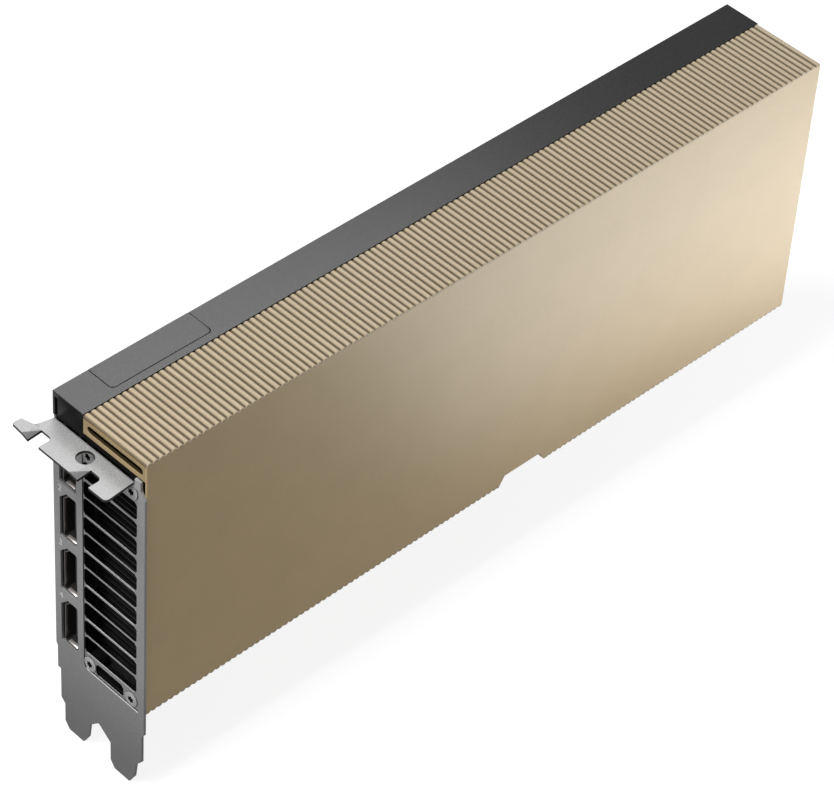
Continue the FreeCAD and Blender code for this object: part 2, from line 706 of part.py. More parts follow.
def make_back_cover():
    x_low, x_high = near + s.back_end_gap, far - s.back_end_gap
    z_low, z_high = s.back_foot, s.card_top - s.rail_drop - s.seat_gap
    body = new_body("back_cover")
    pad(body, sketch(body, "back_outline", "XZ_Plane", -back_face, [[
        (x_low, z_low), (x_high, z_low), (x_high, z_high), (x_low, z_high),
    ]]), s.back_thickness)
    places = back_screw_places()
    pocket(body, sketch(body, "back_sinks", "XZ_Plane", -back_face, circles=[
        (x, z, s.back_screw_head + s.thread_play) for x, z in places]), s.back_screw_sink)
    pocket(body, sketch(body, "back_holes", "XZ_Plane", -back_face, circles=[
        (x, z, s.back_screw_shank + s.thread_play) for x, z in places]), s.back_thickness)
    return body


def make_standoffs():
    inner = back_face - s.back_thickness
    pieces = []
    for k, (x, z) in enumerate(back_screw_places()):
        post = rod(f"standoff_{k}_post", "y", (x, board_back, z), s.standoff_radius, inner - board_back)
        bore = rod(f"standoff_{k}_bore", "y", (x, board_back - WHOLE, z), s.back_screw_shank + s.thread_play,
                   inner - board_back + 2 * WHOLE)
        pieces.append(cut(f"standoff_{k}", post, [bore]))
    return group("standoffs", pieces)


def make_back_screws():
    pieces = []
    for k, (x, z) in enumerate(back_screw_places()):
        head = rod(f"back_screw_{k}_head", "y", (x, back_face - s.back_screw_sink, z), s.back_screw_head,
                   s.back_screw_sink)
        shank = rod(f"back_screw_{k}_shank", "y", (x, board_back + s.back_screw_clear, z),
                    s.back_screw_shank, s.back_reach - s.back_screw_clear - s.back_screw_sink)
        recess = rod(f"back_screw_{k}_recess", "y", (x, back_face - s.recess_depth, z), s.recess_radius,
                     s.recess_depth + WHOLE)
        pieces.append(cut(f"back_screw_{k}", fuse(f"back_screw_{k}_solid", [head, shank]), [recess]))
    return group("back_screws", pieces)


# Slot bracket
# A blanked and folded sheet: a flat face with two tongues, a tab bent forward at the top, and a
# panel pressed back round the vents.

def tongue_corners(back, root, tip):
    """Corners of one tongue, from the root of its back edge to the root of its front edge."""
    front = back - s.tongue_width
    return [
        (back, root), (back, tip + s.tip_back_rise), (back - s.tip_back_run, tip),
        (front + s.tongue_slant + s.tip_front_run, tip),
        (front + s.tongue_slant, tip + s.tip_front_rise), (front, root),
    ]


def bracket_outline():
    """Corners of the flat face, down the back edge, round both tongues and up the front edge."""
    left = s.bracket_offset
    right = left - s.bracket_width
    tip = s.bracket_top - s.bracket_height
    root = tip + s.tongue_length
    first = left - s.tongue_inset
    second = first - s.tongue_pitch
    bend = s.bracket_top - s.tab_bend
    stepped = left - s.first_step
    narrow = stepped - s.second_step
    ear = right + s.shoulder_run
    return [
        (left, bend), (left, s.first_step_height), (stepped, s.first_step_height - s.first_step),
        (stepped, s.second_step_height), (narrow, s.second_step_height), (narrow, root + s.root_rise),
        *tongue_corners(first, root, tip),
        (first - s.tongue_width - s.valley_rise, root + s.valley_rise),
        *tongue_corners(second, root, tip),
        (right + s.second_step, root + s.front_root_rise), (right + s.second_step, s.second_step_height),
        (right, s.second_step_height + s.second_step), (right, s.shoulder),
        (ear, s.shoulder + s.shoulder_run), (ear, s.ear_top), (ear + s.ear_width, s.ear_top),
        (ear + s.ear_width, bend),
    ]


def tab_outline():
    """Corners of the tab from above, with its finger at the back and two open screw notches."""
    tip = near - s.tab_depth
    root = near - s.tab_bend
    finger = tip + s.finger_lean
    corners = [
        (root, s.bracket_offset - s.tab_root_inset), (near - s.finger_neck_inset, s.finger_neck),
        (finger + s.finger_width, s.finger_reach), (finger, s.finger_reach),
    ]
    for k in range(2):
        back = s.notch_place - s.slot_pitch * k
        front = back - s.notch_width
        floor = tip + s.notch_depth
        corners += [(tip, back), (floor, back), (floor, front), (tip, front)]
    return corners + [(tip, -s.tab_end), (root, -s.tab_end + s.tab_flare)]


def make_bracket():
    body = new_body("slot_bracket")
    face = pad(body, sketch(body, "bracket_face", "YZ_Plane", bracket_face, [bracket_outline()]), s.sheet)
    root = s.bracket_top - s.bracket_height + s.tongue_length
    round_edges(body, face, s.tongue_round, lambda edge: along(edge, X_AXIS) and (
        edge.Vertexes[0].Point.z < root.value - WHOLE or passes(edge, z=root + s.valley_rise)))

    # The tab is folded forward on a bend as wide as its root.
    y_low, y_high = -s.tab_end + s.tab_flare, s.bracket_offset - s.tab_root_inset
    top, root, bend = s.bracket_top, near - s.tab_bend, s.tab_bend
    fold = pad(body, sketch(body, "tab_fold", "XZ_Plane", -y_high, [[
        (near, top - bend), (near, top), (root - WHOLE, top), (root - WHOLE, top - s.sheet),
        (bracket_face, top - s.sheet), (bracket_face, top - bend),
    ]]), y_high - y_low)
    round_edges(body, fold, bend, lambda edge: along(edge, Y_AXIS) and passes(edge, x=near, z=top))
    tab = pad(body, sketch(body, "tab_plan", "XY_Plane", top - s.sheet, [tab_outline()]), s.sheet)
    tip = near - s.tab_depth
    notches = [s.notch_place - s.notch_width - s.slot_pitch * k for k in range(2)]
    smooth = round_edges(body, tab, s.notch_corner, lambda edge: along(edge, Z_AXIS) and any(
        passes(edge, x=tip + s.notch_depth, y=front) for front in notches))
    smooth = round_edges(body, smooth, s.finger_neck_round, lambda edge: along(edge, Z_AXIS) and passes(
        edge, x=near - s.finger_neck_inset, y=s.finger_neck))
    smooth = round_edges(body, smooth, s.finger_round, lambda edge: along(edge, Z_AXIS) and passes(
        edge, y=s.finger_reach))
    round_edges(body, smooth, s.tab_corner, lambda edge: along(edge, Z_AXIS) and passes(
        edge, x=tip, y=-s.tab_end))
    pocket(body, sketch(body, "tab_bore", "XY_Plane", top - s.sheet - WHOLE, circles=[
        (near - s.tab_hole_inset, -s.tab_hole_place, s.tab_hole / 2)]), s.sheet + 2 * WHOLE)

    # The vent panel is pressed back by less than the sheet, so its walls are sheet-thick all round.
    rim = s.sheet
    y_low, y_high = -s.draw_end, -s.draw_start
    pan = pad(body, sketch(body, "panel_outside", "YZ_Plane", near, [[
        (y_low - rim, s.draw_foot - rim), (y_high + rim, s.draw_foot - rim),
        (y_high + rim, s.draw_head + rim), (y_low - rim, s.draw_head + rim),
    ]]), s.draw_depth)
    round_edges(body, pan, s.draw_corner, lambda edge: along(edge, X_AXIS) and passes(
        edge, y=y_high + rim, z=s.draw_foot - rim))
    press = pocket(body, sketch(body, "panel_inside", "YZ_Plane", bracket_face, [[
        (y_low, s.draw_foot), (y_high, s.draw_foot), (y_high, s.draw_head), (y_low, s.draw_head),
    ]]), s.draw_depth)
    round_edges(body, press, s.draw_corner, lambda edge: along(edge, X_AXIS) and passes(
        edge, y=y_high, z=s.draw_foot))

    # Vents, with broad and slim bars in turn, and a short one between the lower screws.
    reach = s.draw_depth + s.sheet + WHOLE
    low, high = -s.vent_start - s.vent_length, -s.vent_start
    half_broad, half_slim = s.broad_bar / 2, s.slim_bar / 2
    foot = s.vent_foot
    pair = pocket(body, sketch(body, "vent_pair", "YZ_Plane", bracket_face, [
        vent(low, high, foot + half_broad, foot + s.vent_pitch - half_slim),
        vent(low, high, foot + s.vent_pitch + half_slim, foot + 2 * s.vent_pitch - half_broad),
    ]), reach)
    row(body, pair, "Z_Axis", 2 * s.vent_pitch, s.vent_pairs)
    last = foot + 2 * s.vent_pitch * s.vent_pairs
    pocket(body, sketch(body, "vent_ends", "YZ_Plane", bracket_face, [
        vent(low, high, last + half_broad, last + s.vent_pitch),
        vent(-s.low_vent_start - s.low_vent_length, -s.low_vent_start, s.low_vent_foot,
             foot - s.vent_pitch * 0.2),
    ]), reach)

    # Windows for the display sockets and holes for the four screws.
    y_low, y_high = s.socket_window_edge - s.socket_window_width, s.socket_window_edge
    z_low = s.socket_foot - s.socket_window_height / 2
    z_high = z_low + s.socket_window_height
    large, small = s.socket_window_chamfer, s.socket_window_corner
    window = pocket(body, sketch(body, "socket_window", "YZ_Plane", bracket_face - WHOLE, [[
        (y_low + small, z_low), (y_high - small, z_low), (y_high, z_low + small), (y_high, z_high - large),
        (y_high - large, z_high), (y_low + small, z_high), (y_low, z_high - small), (y_low, z_low + small),
    ]]), s.sheet + 2 * WHOLE)
    row(body, window, "Z_Axis", s.socket_pitch, s.socket_count)
    holes = pocket(body, sketch(body, "screw_holes", "YZ_Plane", bracket_face, circles=[
        (y, z, s.shank_radius + s.thread_play) for y, z in bracket_screws_at]), reach)
    body.Tip = holes
    return body


def vent(y_low, y_high, z_low, z_high):
    """A vent with cut corners."""
    bevel = s.vent_corner
    return [
        (y_low + bevel, z_low), (y_high - bevel, z_low), (y_high, z_low + bevel), (y_high, z_high - bevel),
        (y_high - bevel, z_high), (y_low + bevel, z_high), (y_low, z_high - bevel), (y_low, z_low + bevel),
    ]


def make_bracket_screws():
    """Low round heads with a six-lobed drive, seated on the pressed panel."""
    pieces = []
    for k, (y, z) in enumerate(bracket_screws_at):
        name = f"bracket_screw_{k}"
        head = rod(f"{name}_head", "x", (panel_face - s.head_rise, y, z), s.head_radius, s.head_rise)
        shank = rod(f"{name}_shank", "x", (panel_face, y, z), s.shank_radius, s.sheet + s.shank_length)
        recess = rod(f"{name}_recess", "x", (panel_face - s.head_rise - WHOLE, y, z), s.recess_radius,
                     s.recess_depth + WHOLE)
        pieces.append(cut(name, fuse(f"{name}_solid", [head, shank]), [recess]))
    return group("bracket_screws", pieces)


# Display sockets
# Each is a folded shell with one large cut corner, a moulded core with a contact tongue, and two
# rows of contacts on the tongue.

def shell_corners(z, inset):
    """The shell's section, inset from its outside."""
    y_high = board_front - inset
    y_low = board_front - s.shell_rise + inset
    z_low = z - s.shell_height / 2 + inset
    z_high = z + s.shell_height / 2 - inset
    corner = s.shell_chamfer - 0.6 * as_size(inset)
    return [(y_low, z_low), (y_high, z_low), (y_high, z_high - corner), (y_high - corner, z_high),
            (y_low, z_high)]


def make_sockets():
    nodes = {}
    mouth = bracket_face + s.shell_setback
    tip = mouth + s.tongue_setback
    end = mouth + s.shell_length
    middle = board_front - s.shell_rise / 2
    half = s.tongue_thickness / 2
    for k, z in enumerate(socket_heights, 1):
        shell = new_body(f"display_shell_{k}")
        pad(shell, sketch(shell, f"shell_outside_{k}", "YZ_Plane", mouth, [shell_corners(z, 0.0)]),
            s.shell_length)
        pocket(shell, sketch(shell, f"shell_inside_{k}", "YZ_Plane", mouth, [shell_corners(z, s.shell_wall)]),
               s.shell_length)
        nodes[f"display_shell_{k}"] = shell

        core = new_body(f"display_core_{k}")
        pad(core, sketch(core, f"core_section_{k}", "YZ_Plane", end - s.core_length,
                         [shell_corners(z, s.shell_wall)]), s.core_length)
        tongue_low, tongue_high = z - s.tongue_height / 2, z + s.tongue_height / 2
        pad(core, sketch(core, f"core_tongue_{k}", "YZ_Plane", tip, [[
            (middle - half, tongue_low), (middle + half, tongue_low),
            (middle + half, tongue_high), (middle - half, tongue_high),
        ]]), s.shell_length - s.tongue_setback - s.core_length)
        nodes[f"display_core_{k}"] = core

        pins = []
        for side, y in (("front", (middle - half - s.socket_pin_plate, middle - half)),
                        ("back", (middle + half, middle + half + s.socket_pin_plate))):
            for pin in range(int(s.socket_pins.value)):
                place = z + (pin - (s.socket_pins - 1) / 2) * s.socket_pin_pitch
                pins.append(block(
                    f"display_pin_{k}_{side}_{pin}", (tip + s.socket_pin_width, end - s.core_length), y,
                    (place - s.socket_pin_width / 2, place + s.socket_pin_width / 2)))
        nodes[f"display_contacts_{k}"] = group(f"display_contacts_{k}", pins)
    return nodes


# End frames
# Two dark moulded frames stiffen the mouths of the ribbed cover. The bracket screws bite into the
# one behind the bracket, the one at the intake end has four threaded holes for a card extender.

def make_end_frame(name, x, y, z, holes, radius):
    """A rectangular frame with a boss at each hole."""
    rim = s.frame_rim
    ring = cut(f"{name}_ring", block(f"{name}_outside", x, y, z), [
        block(f"{name}_window", (x[0] - WHOLE, x[1] + WHOLE), (y[0] + rim, y[1] - rim),
              (z[0] + rim, z[1] - rim))])
    bosses = []
    for k, (across, height) in enumerate(holes):
        rim_edge = min(z, key=lambda edge: abs(edge.value - height.value))
        low, high = sorted((rim_edge, height), key=lambda edge: edge.value)
        bosses.append(rod(f"{name}_boss_{k}", "x", (x[0], across, height), s.boss_radius, x[1] - x[0]))
        bosses.append(block(f"{name}_web_{k}", x, (across - s.boss_web / 2, across + s.boss_web / 2),
                            (low, high)))
    trimmed = doc.addObject("Part::Common", f"{name}_trimmed")
    trimmed.Base = fuse(f"{name}_bosses", bosses)
    trimmed.Tool = block(f"{name}_limits", x, y, z)
    bores = [rod(f"{name}_bore_{k}", "x", (x[0] - WHOLE, across, height), radius, x[1] - x[0] + 2 * WHOLE)
             for k, (across, height) in enumerate(holes)]
    return cut(name, fuse(f"{name}_solid", [ring, trimmed]), bores)


def make_end_frames():
    front = cover_inner + s.seat_gap
    outlet = make_end_frame(
        "outlet_frame", (panel_rear, panel_rear + s.frame_depth),
        (front, board_front - s.shell_rise - s.seat_gap),
        (s.cover_bottom + s.seat_gap, s.card_top - s.lip_height - s.seat_gap),
        bracket_screws_at, s.shank_radius + s.thread_play)

    back = rail_edge - s.seat_gap
    foot, head = floor_inner + s.seat_gap, roof_inner - s.seat_gap
    inset = s.extender_inset
    corners = [(y, z) for y in (front + inset, back - inset) for z in (foot + inset, head - inset)]
    intake = make_end_frame("intake_frame", (far - s.frame_depth, far), (front, back), (foot, head),
                            corners, s.extender_hole)
    return {"outlet_frame": outlet, "intake_frame": intake}


# Heatsink
# A vapour chamber carries a stack of folded fins. The fins lie level, so that air runs along the
# card between them, and their folded edges close each channel.

def make_heatsink():
    base_front = board_front - s.base_gap - s.base_thickness
    base = cut("vapour_chamber", block("vapour_block", (near + s.base_start, far - s.base_end), (
        base_front, board_front - s.base_gap), (s.base_foot, s.base_head)), [
        rod(f"clamp_thread_{k}", "y", (x, board_front - s.base_gap - s.clamp_grip, z),
            s.clamp_shank_radius + s.thread_play, s.clamp_grip + WHOLE)
        for k, (x, z) in enumerate(clamp_places())])

    fins = new_body("fin_stack")
    tip = cover_inner + s.fin_tip_gap
    fin = s.fin_thickness
    start, end = near + s.fin_start, far - s.fin_end
    head = s.fin_foot + s.fin_pitch * s.fin_count + fin
    pad(fins, sketch(fins, "fin_section", "YZ_Plane", start, [[
        (tip, s.fin_foot), (base_front, s.fin_foot), (base_front, head), (tip, head),
    ]]), end - start)
    channel = pocket(fins, sketch(fins, "fin_channel", "YZ_Plane", start, [[
        (tip + fin, s.fin_foot + fin), (base_front - fin, s.fin_foot + fin),
        (base_front - fin, s.fin_foot + s.fin_pitch), (tip + fin, s.fin_foot + s.fin_pitch),
    ]]), end - start)
    row(fins, channel, "Z_Axis", s.fin_pitch, s.fin_count)
    low = s.relief_start - s.cover_roof - s.seat_gap
    high = s.relief_start + s.relief_length + s.cover_roof + s.seat_gap
    roof = s.cover_bottom + s.relief_depth + s.cover_roof + s.seat_gap
    pocket(fins, sketch(fins, "fin_relief", "XZ_Plane", -base_front, [[
        (low, s.fin_foot - WHOLE), (high, s.fin_foot - WHOLE), (high, roof), (low, roof),
    ]]), s.front_reach).Reversed = True
    return {"vapour_chamber": base, "fin_stack": fins}


# Processor, memory and power stage on the board's front

def plates(name, places, x_side, z_side, y):
    """Equal flat parts, each centred on a place (x, z), in one node."""
    return group(name, [
        block(f"{name}_{k}", (x - x_side / 2, x + x_side / 2), y, (z - z_side / 2, z + z_side / 2))
        for k, (x, z) in enumerate(places)])


def memory_places():
    offset = clamp_edge + s.memory_gap + s.memory_length / 2
    return [
        (s.chip_centre + side * offset, s.chip_height + (k - 1.5) * s.memory_pitch)
        for side in (-1, 1) for k in range(4)
    ]


def make_chips():
    carrier = (board_front - s.package_thickness, board_front)
    die = (carrier[0] - s.die_thickness, carrier[0])
    base = board_front - s.base_gap
    middle = [(s.chip_centre, s.chip_height)]
    front = (board_front - s.memory_thickness, board_front)
    back = (board_back, board_back + s.memory_thickness)
    inner = back_face - s.back_thickness
    pad_length = s.memory_length - s.pad_inset
    pad_height = s.memory_height - s.pad_inset
    memory = memory_places()
    return {
        "processor_carrier": plates("processor_carrier", middle, s.package_side, s.package_side, carrier),
        "processor_die": plates("processor_die", middle, s.die_length, s.die_height, die),
        "die_paste": plates("die_paste", middle, s.die_length, s.die_height, (base, die[0])),
        "memory_front": plates("memory_front", memory, s.memory_length, s.memory_height, front),
        "memory_pads_front": plates("memory_pads_front", memory, pad_length, pad_height, (base, front[0])),
        "memory_back": plates("memory_back", memory, s.memory_length, s.memory_height, back),
        "memory_pads_back": plates("memory_pads_back", memory, pad_length, pad_height, (back[1], inner)),
    }


def make_power_stage():
    x = far - s.choke_inset
    heights = [s.choke_foot + s.choke_pitch * k for k in range(int(s.choke_count.value))]
    chokes = [(x, z) for z in heights]
    stages = [(x - s.stage_offset, z) for z in heights]
    cans = group("capacitors", [
        rod(f"capacitor_{k}", "y", (x + s.capacitor_offset, board_front - s.capacitor_rise, z),
            s.capacitor_radius, s.capacitor_rise) for k, z in enumerate(heights)])
    return {
        "power_chokes": plates("power_chokes", chokes, s.choke_side, s.choke_side,
                               (board_front - s.choke_rise, board_front)),
        "power_transistors": plates("power_transistors", stages, s.stage_side, s.stage_side,
                                    (board_front - s.stage_rise, board_front)),
        "capacitors": cans,
    }


# Power inlet at the intake end of the board, open towards +X

def make_inlet():
    mouth = far - s.inlet_inset
    rear = mouth - s.inlet_length
    floor = mouth - s.inlet_cavity
    y = (board_front - s.inlet_rise, board_front)
    z = (s.inlet_height - s.inlet_width / 2, s.inlet_height + s.inlet_width / 2)
    wall = s.inlet_wall
    housing = cut("inlet_housing", block("inlet_block", (rear, mouth), y, z), [
        block("inlet_cavity_space", (floor, mouth + WHOLE), (y[0] + wall, y[1] - wall),
              (z[0] + wall, z[1] - wall))])
    middle = (y[0] + y[1]) / 2
    tip = mouth - s.power_pin_setback
    half = s.power_pin / 2
    pins = []
    for side in (-1, 1):
        y_middle = middle + side * s.power_row_offset
        for k in range(6):
            place = s.inlet_height + (k - 2.5) * s.power_pin_pitch
            pins.append(block(f"power_pin_{side + 1}_{k}", (floor, tip), (y_middle - half, y_middle + half),
                              (place - half, place + half)))
    half = s.sense_pin / 2
    y_middle = y[0] + wall + s.sense_pin
    signals = []
    for k in range(4):
        place = s.inlet_height + (k - 1.5) * s.sense_pin_pitch
        signals.append(block(f"sense_pin_{k}", (floor, tip), (y_middle - half, y_middle + half),
                             (place - half, place + half)))
    return {
        "inlet_housing": housing,
        "power_pins": group("power_pins", pins),
        "sense_pins": group("sense_pins", signals),
    }


# Clamp behind the processor: a flat steel frame and four screws into the vapour chamber

def clamp_places():
    offset = clamp_screw_offset
    return [(s.chip_centre + offset * x, s.chip_height + offset * z) for x in (-1, 1) for z in (-1, 1)]


def make_clamp():
    half, inner = clamp_edge, s.clamp_window / 2
    x, z = s.chip_centre, s.chip_height
    frame = new_body("backing_frame")
    outer_face = board_back + s.clamp_thickness
    pad(frame, sketch(frame, "backing_outline", "XZ_Plane", -outer_face, [
        [(x - half, z - half), (x + half, z - half), (x + half, z + half), (x - half, z + half)],
        [(x - inner, z - inner), (x + inner, z - inner), (x + inner, z + inner), (x - inner, z + inner)],
    ], [(u, v, s.clamp_shank_radius + s.thread_play) for u, v in clamp_places()]), s.clamp_thickness)
    screws = []
    start = board_front - s.base_gap - s.clamp_grip
    for k, (u, v) in enumerate(clamp_places()):
        head = rod(f"clamp_screw_{k}_head", "y", (u, outer_face, v), s.clamp_head_radius, s.clamp_head_rise)
        shank = rod(f"clamp_screw_{k}_shank", "y", (u, start, v), s.clamp_shank_radius, outer_face - start)
        screws.append(fuse(f"clamp_screw_{k}", [head, shank]))
    return {"backing_frame": frame, "clamp_screws": group("clamp_screws", screws)}


def check_and_export(nodes):
    """Stop on any failed object, then write one file for each node."""
    doc.recompute()
    for thing in doc.Objects:
        if "Invalid" in thing.State or "Error" in thing.State:
            raise RuntimeError(f"{thing.Name} did not compute: {thing.State}")
    for name, thing in nodes.items():
        shape = thing.Shape
        if shape.isNull() or not shape.isValid() or not shape.Solids:
            raise RuntimeError(f"{name} has no valid solid")
    os.makedirs("parts", exist_ok=True)
    for name, thing in nodes.items():
        thing.Label = name
        thing.Shape.exportStep(f"parts/{name}.step")


card = {
    "shroud": make_shroud(),
    "top_rail": make_rail(),
    "link_hatch": make_hatch(),
    "circuit_board": make_board(),
    "edge_contacts": make_contacts(),
    "back_cover": make_back_cover(),
    "standoffs": make_standoffs(),
    "back_screws": make_back_screws(),
    "slot_bracket": make_bracket(),
    "bracket_screws": make_bracket_screws(),
}
card.update(make_sockets())
card.update(make_end_frames())
card.update(make_heatsink())
card.update(make_chips())
card.update(make_power_stage())
card.update(make_inlet())
card.update(make_clamp())
check_and_export(card)
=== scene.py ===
import math

import bmesh
import bpy
from mathutils import Matrix, Vector


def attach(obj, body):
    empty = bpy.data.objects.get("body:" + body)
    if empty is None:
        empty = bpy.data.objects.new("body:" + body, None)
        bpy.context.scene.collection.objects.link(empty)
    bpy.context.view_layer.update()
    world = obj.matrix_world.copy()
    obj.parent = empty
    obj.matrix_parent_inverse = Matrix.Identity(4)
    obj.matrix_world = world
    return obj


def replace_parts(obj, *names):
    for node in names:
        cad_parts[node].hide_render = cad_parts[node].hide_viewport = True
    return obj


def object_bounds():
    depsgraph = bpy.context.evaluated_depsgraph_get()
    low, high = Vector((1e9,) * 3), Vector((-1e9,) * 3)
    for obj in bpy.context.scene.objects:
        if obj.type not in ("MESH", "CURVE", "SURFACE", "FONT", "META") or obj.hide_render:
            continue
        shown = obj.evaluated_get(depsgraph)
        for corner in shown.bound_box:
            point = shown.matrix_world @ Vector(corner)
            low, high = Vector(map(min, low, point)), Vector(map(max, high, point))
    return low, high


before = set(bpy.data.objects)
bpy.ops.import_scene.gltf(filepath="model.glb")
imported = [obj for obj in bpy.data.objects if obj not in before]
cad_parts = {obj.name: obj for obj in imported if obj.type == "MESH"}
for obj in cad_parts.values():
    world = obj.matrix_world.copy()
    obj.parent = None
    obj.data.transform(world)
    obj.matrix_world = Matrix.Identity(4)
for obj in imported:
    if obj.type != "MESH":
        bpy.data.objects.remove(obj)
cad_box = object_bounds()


# Camera
# A long lens looks down on the near end of the card, from the side of the ribbed cover. The roll is
# the small tilt of the photograph.

view_azimuth = math.radians(-46.8415)
view_elevation = math.radians(42.7468)
view_roll = math.radians(4.2491)
view_place = (-0.512181, -0.554401, 0.775501)
camera_data = bpy.data.cameras.new("camera")
camera_data.sensor_width = 36.0
camera_data.lens = 157.967
camera_data.clip_start = 0.05
camera_data.clip_end = 20.0
camera = bpy.data.objects.new("camera", camera_data)
bpy.context.scene.collection.objects.link(camera)
forward = Vector((
    -math.sin(view_azimuth) * math.cos(view_elevation),
    math.cos(view_azimuth) * math.cos(view_elevation),
    -math.sin(view_elevation),
))
turn = forward.to_track_quat("-Z", "Y").to_matrix() @ Matrix.Rotation(view_roll, 3, "Z")
camera.matrix_world = Matrix.Translation(view_place) @ turn.to_4x4()
bpy.context.scene.camera = camera


# Room
# Pale floor under the bracket's tongues, white surroundings and soft lamps: overhead, beside the
# intake end, where it grades the cover's face, and a small one in front of the bracket. Two cards
# show only in reflections, so that they add no plain light.

def lamp(name, place, target, width, depth, power, reflection_only=False):
    """A rectangular lamp at a place, aimed at a target. All lengths are in metres."""
    data = bpy.data.lights.new(name, "AREA")
    data.shape = "RECTANGLE"
    data.size = width
    data.size_y = depth
    data.energy = power
    thing = bpy.data.objects.new(name, data)
    bpy.context.scene.collection.objects.link(thing)
    thing.location = place
    aim = Vector(target) - Vector(place)
    thing.rotation_euler = aim.to_track_quat("-Z", "Y").to_euler()
    thing.visible_camera = False
    thing.visible_diffuse = not reflection_only


lamp("key", (-0.60, 0.08, 1.70), (0.07, -0.02, 0.05), 0.5, 0.5, 26.0)
lamp("bracket_front", (-0.26, -0.04, 0.20), (-0.06, -0.02, 0.075), 0.1, 0.1, 0.2)
lamp("intake_side", (0.37, -0.28, 0.18), (0.19, -0.03, 0.09), 0.12, 0.10, 0.47)
lamp("intake_card", (0.27, -0.076, -0.005), (0.26, -0.042, 0.06), 0.34, 0.12, 1.02,
     reflection_only=True)
lamp("back_card", (0.28, 0.36, 0.60), (0.0, 0.0, 0.11), 0.36, 0.20, 4.0, reflection_only=True)


def shown_white(tree):
    """A socket that is 1 for camera, glossy and transmitted rays, and 0 for all others."""
    rays = tree.nodes.new("ShaderNodeLightPath")
    total = rays.outputs["Is Camera Ray"]
    for kind in ("Is Glossy Ray", "Is Transmission Ray"):
        add = tree.nodes.new("ShaderNodeMath")
        add.operation = "ADD"
        add.use_clamp = True
        tree.links.new(total, add.inputs[0])
        tree.links.new(rays.outputs[kind], add.inputs[1])
        total = add.outputs[0]
    return total


white = (1.0, 1.0, 1.0, 1.0)
world = bpy.data.worlds.new("studio")
bpy.context.scene.world = world
world.use_nodes = True
tree = world.node_tree
tree.nodes.clear()
ambient = tree.nodes.new("ShaderNodeBackground")
ambient.inputs["Color"].default_value = white
ambient.inputs["Strength"].default_value = 0.14
backdrop = tree.nodes.new("ShaderNodeBackground")
backdrop.inputs["Color"].default_value = white
backdrop.inputs["Strength"].default_value = 1.0
either = tree.nodes.new("ShaderNodeMixShader")
tree.links.new(shown_white(tree), either.inputs["Fac"])
tree.links.new(ambient.outputs[0], either.inputs[1])
tree.links.new(backdrop.outputs[0], either.inputs[2])
world_out = tree.nodes.new("ShaderNodeOutputWorld")
tree.links.new(either.outputs[0], world_out.inputs["Surface"])

MM = 0.001
floor_reach = 4.0
floor_height = cad_box[0].z - 0.05 * MM
sheet = bmesh.new()
bmesh.ops.create_grid(sheet, x_segments=1, y_segments=1, size=floor_reach,
                      matrix=Matrix.Translation((0, 0, floor_height)))
floor_mesh = bpy.data.meshes.new("floor")
sheet.to_mesh(floor_mesh)
sheet.free()
floor = bpy.data.objects.new("floor", floor_mesh)
bpy.context.scene.collection.objects.link(floor)
floor_paper = bpy.data.materials.new("floor_paper")
floor_paper.use_nodes = True
tree = floor_paper.node_tree
tree.nodes.clear()
paper = tree.nodes.new("ShaderNodeBsdfDiffuse")
paper.inputs["Color"].default_value = (0.24, 0.24, 0.244, 1.0)
glow = tree.nodes.new("ShaderNodeEmission")
glow.inputs["Color"].default_value = white
level = tree.nodes.new("ShaderNodeMath")
level.operation = "MULTIPLY"
level.inputs[1].default_value = 0.86
tree.links.new(shown_white(tree), level.inputs[0])
tree.links.new(level.outputs[0], glow.inputs["Strength"])
both = tree.nodes.new("ShaderNodeAddShader")
tree.links.new(paper.outputs[0], both.inputs[0])
tree.links.new(glow.outputs[0], both.inputs[1])
floor_out = tree.nodes.new("ShaderNodeOutputMaterial")
tree.links.new(both.outputs[0], floor_out.inputs["Surface"])
floor_mesh.materials.append(floor_paper)
bpy.context.scene.view_settings.view_transform = "Standard"


# Circuit board
# Glass-fibre laminate under a black solder mask, routed to shape. Its foot is the edge connector,
# with a key notch and a latch hook, and everything else on the card is soldered or screwed to it.

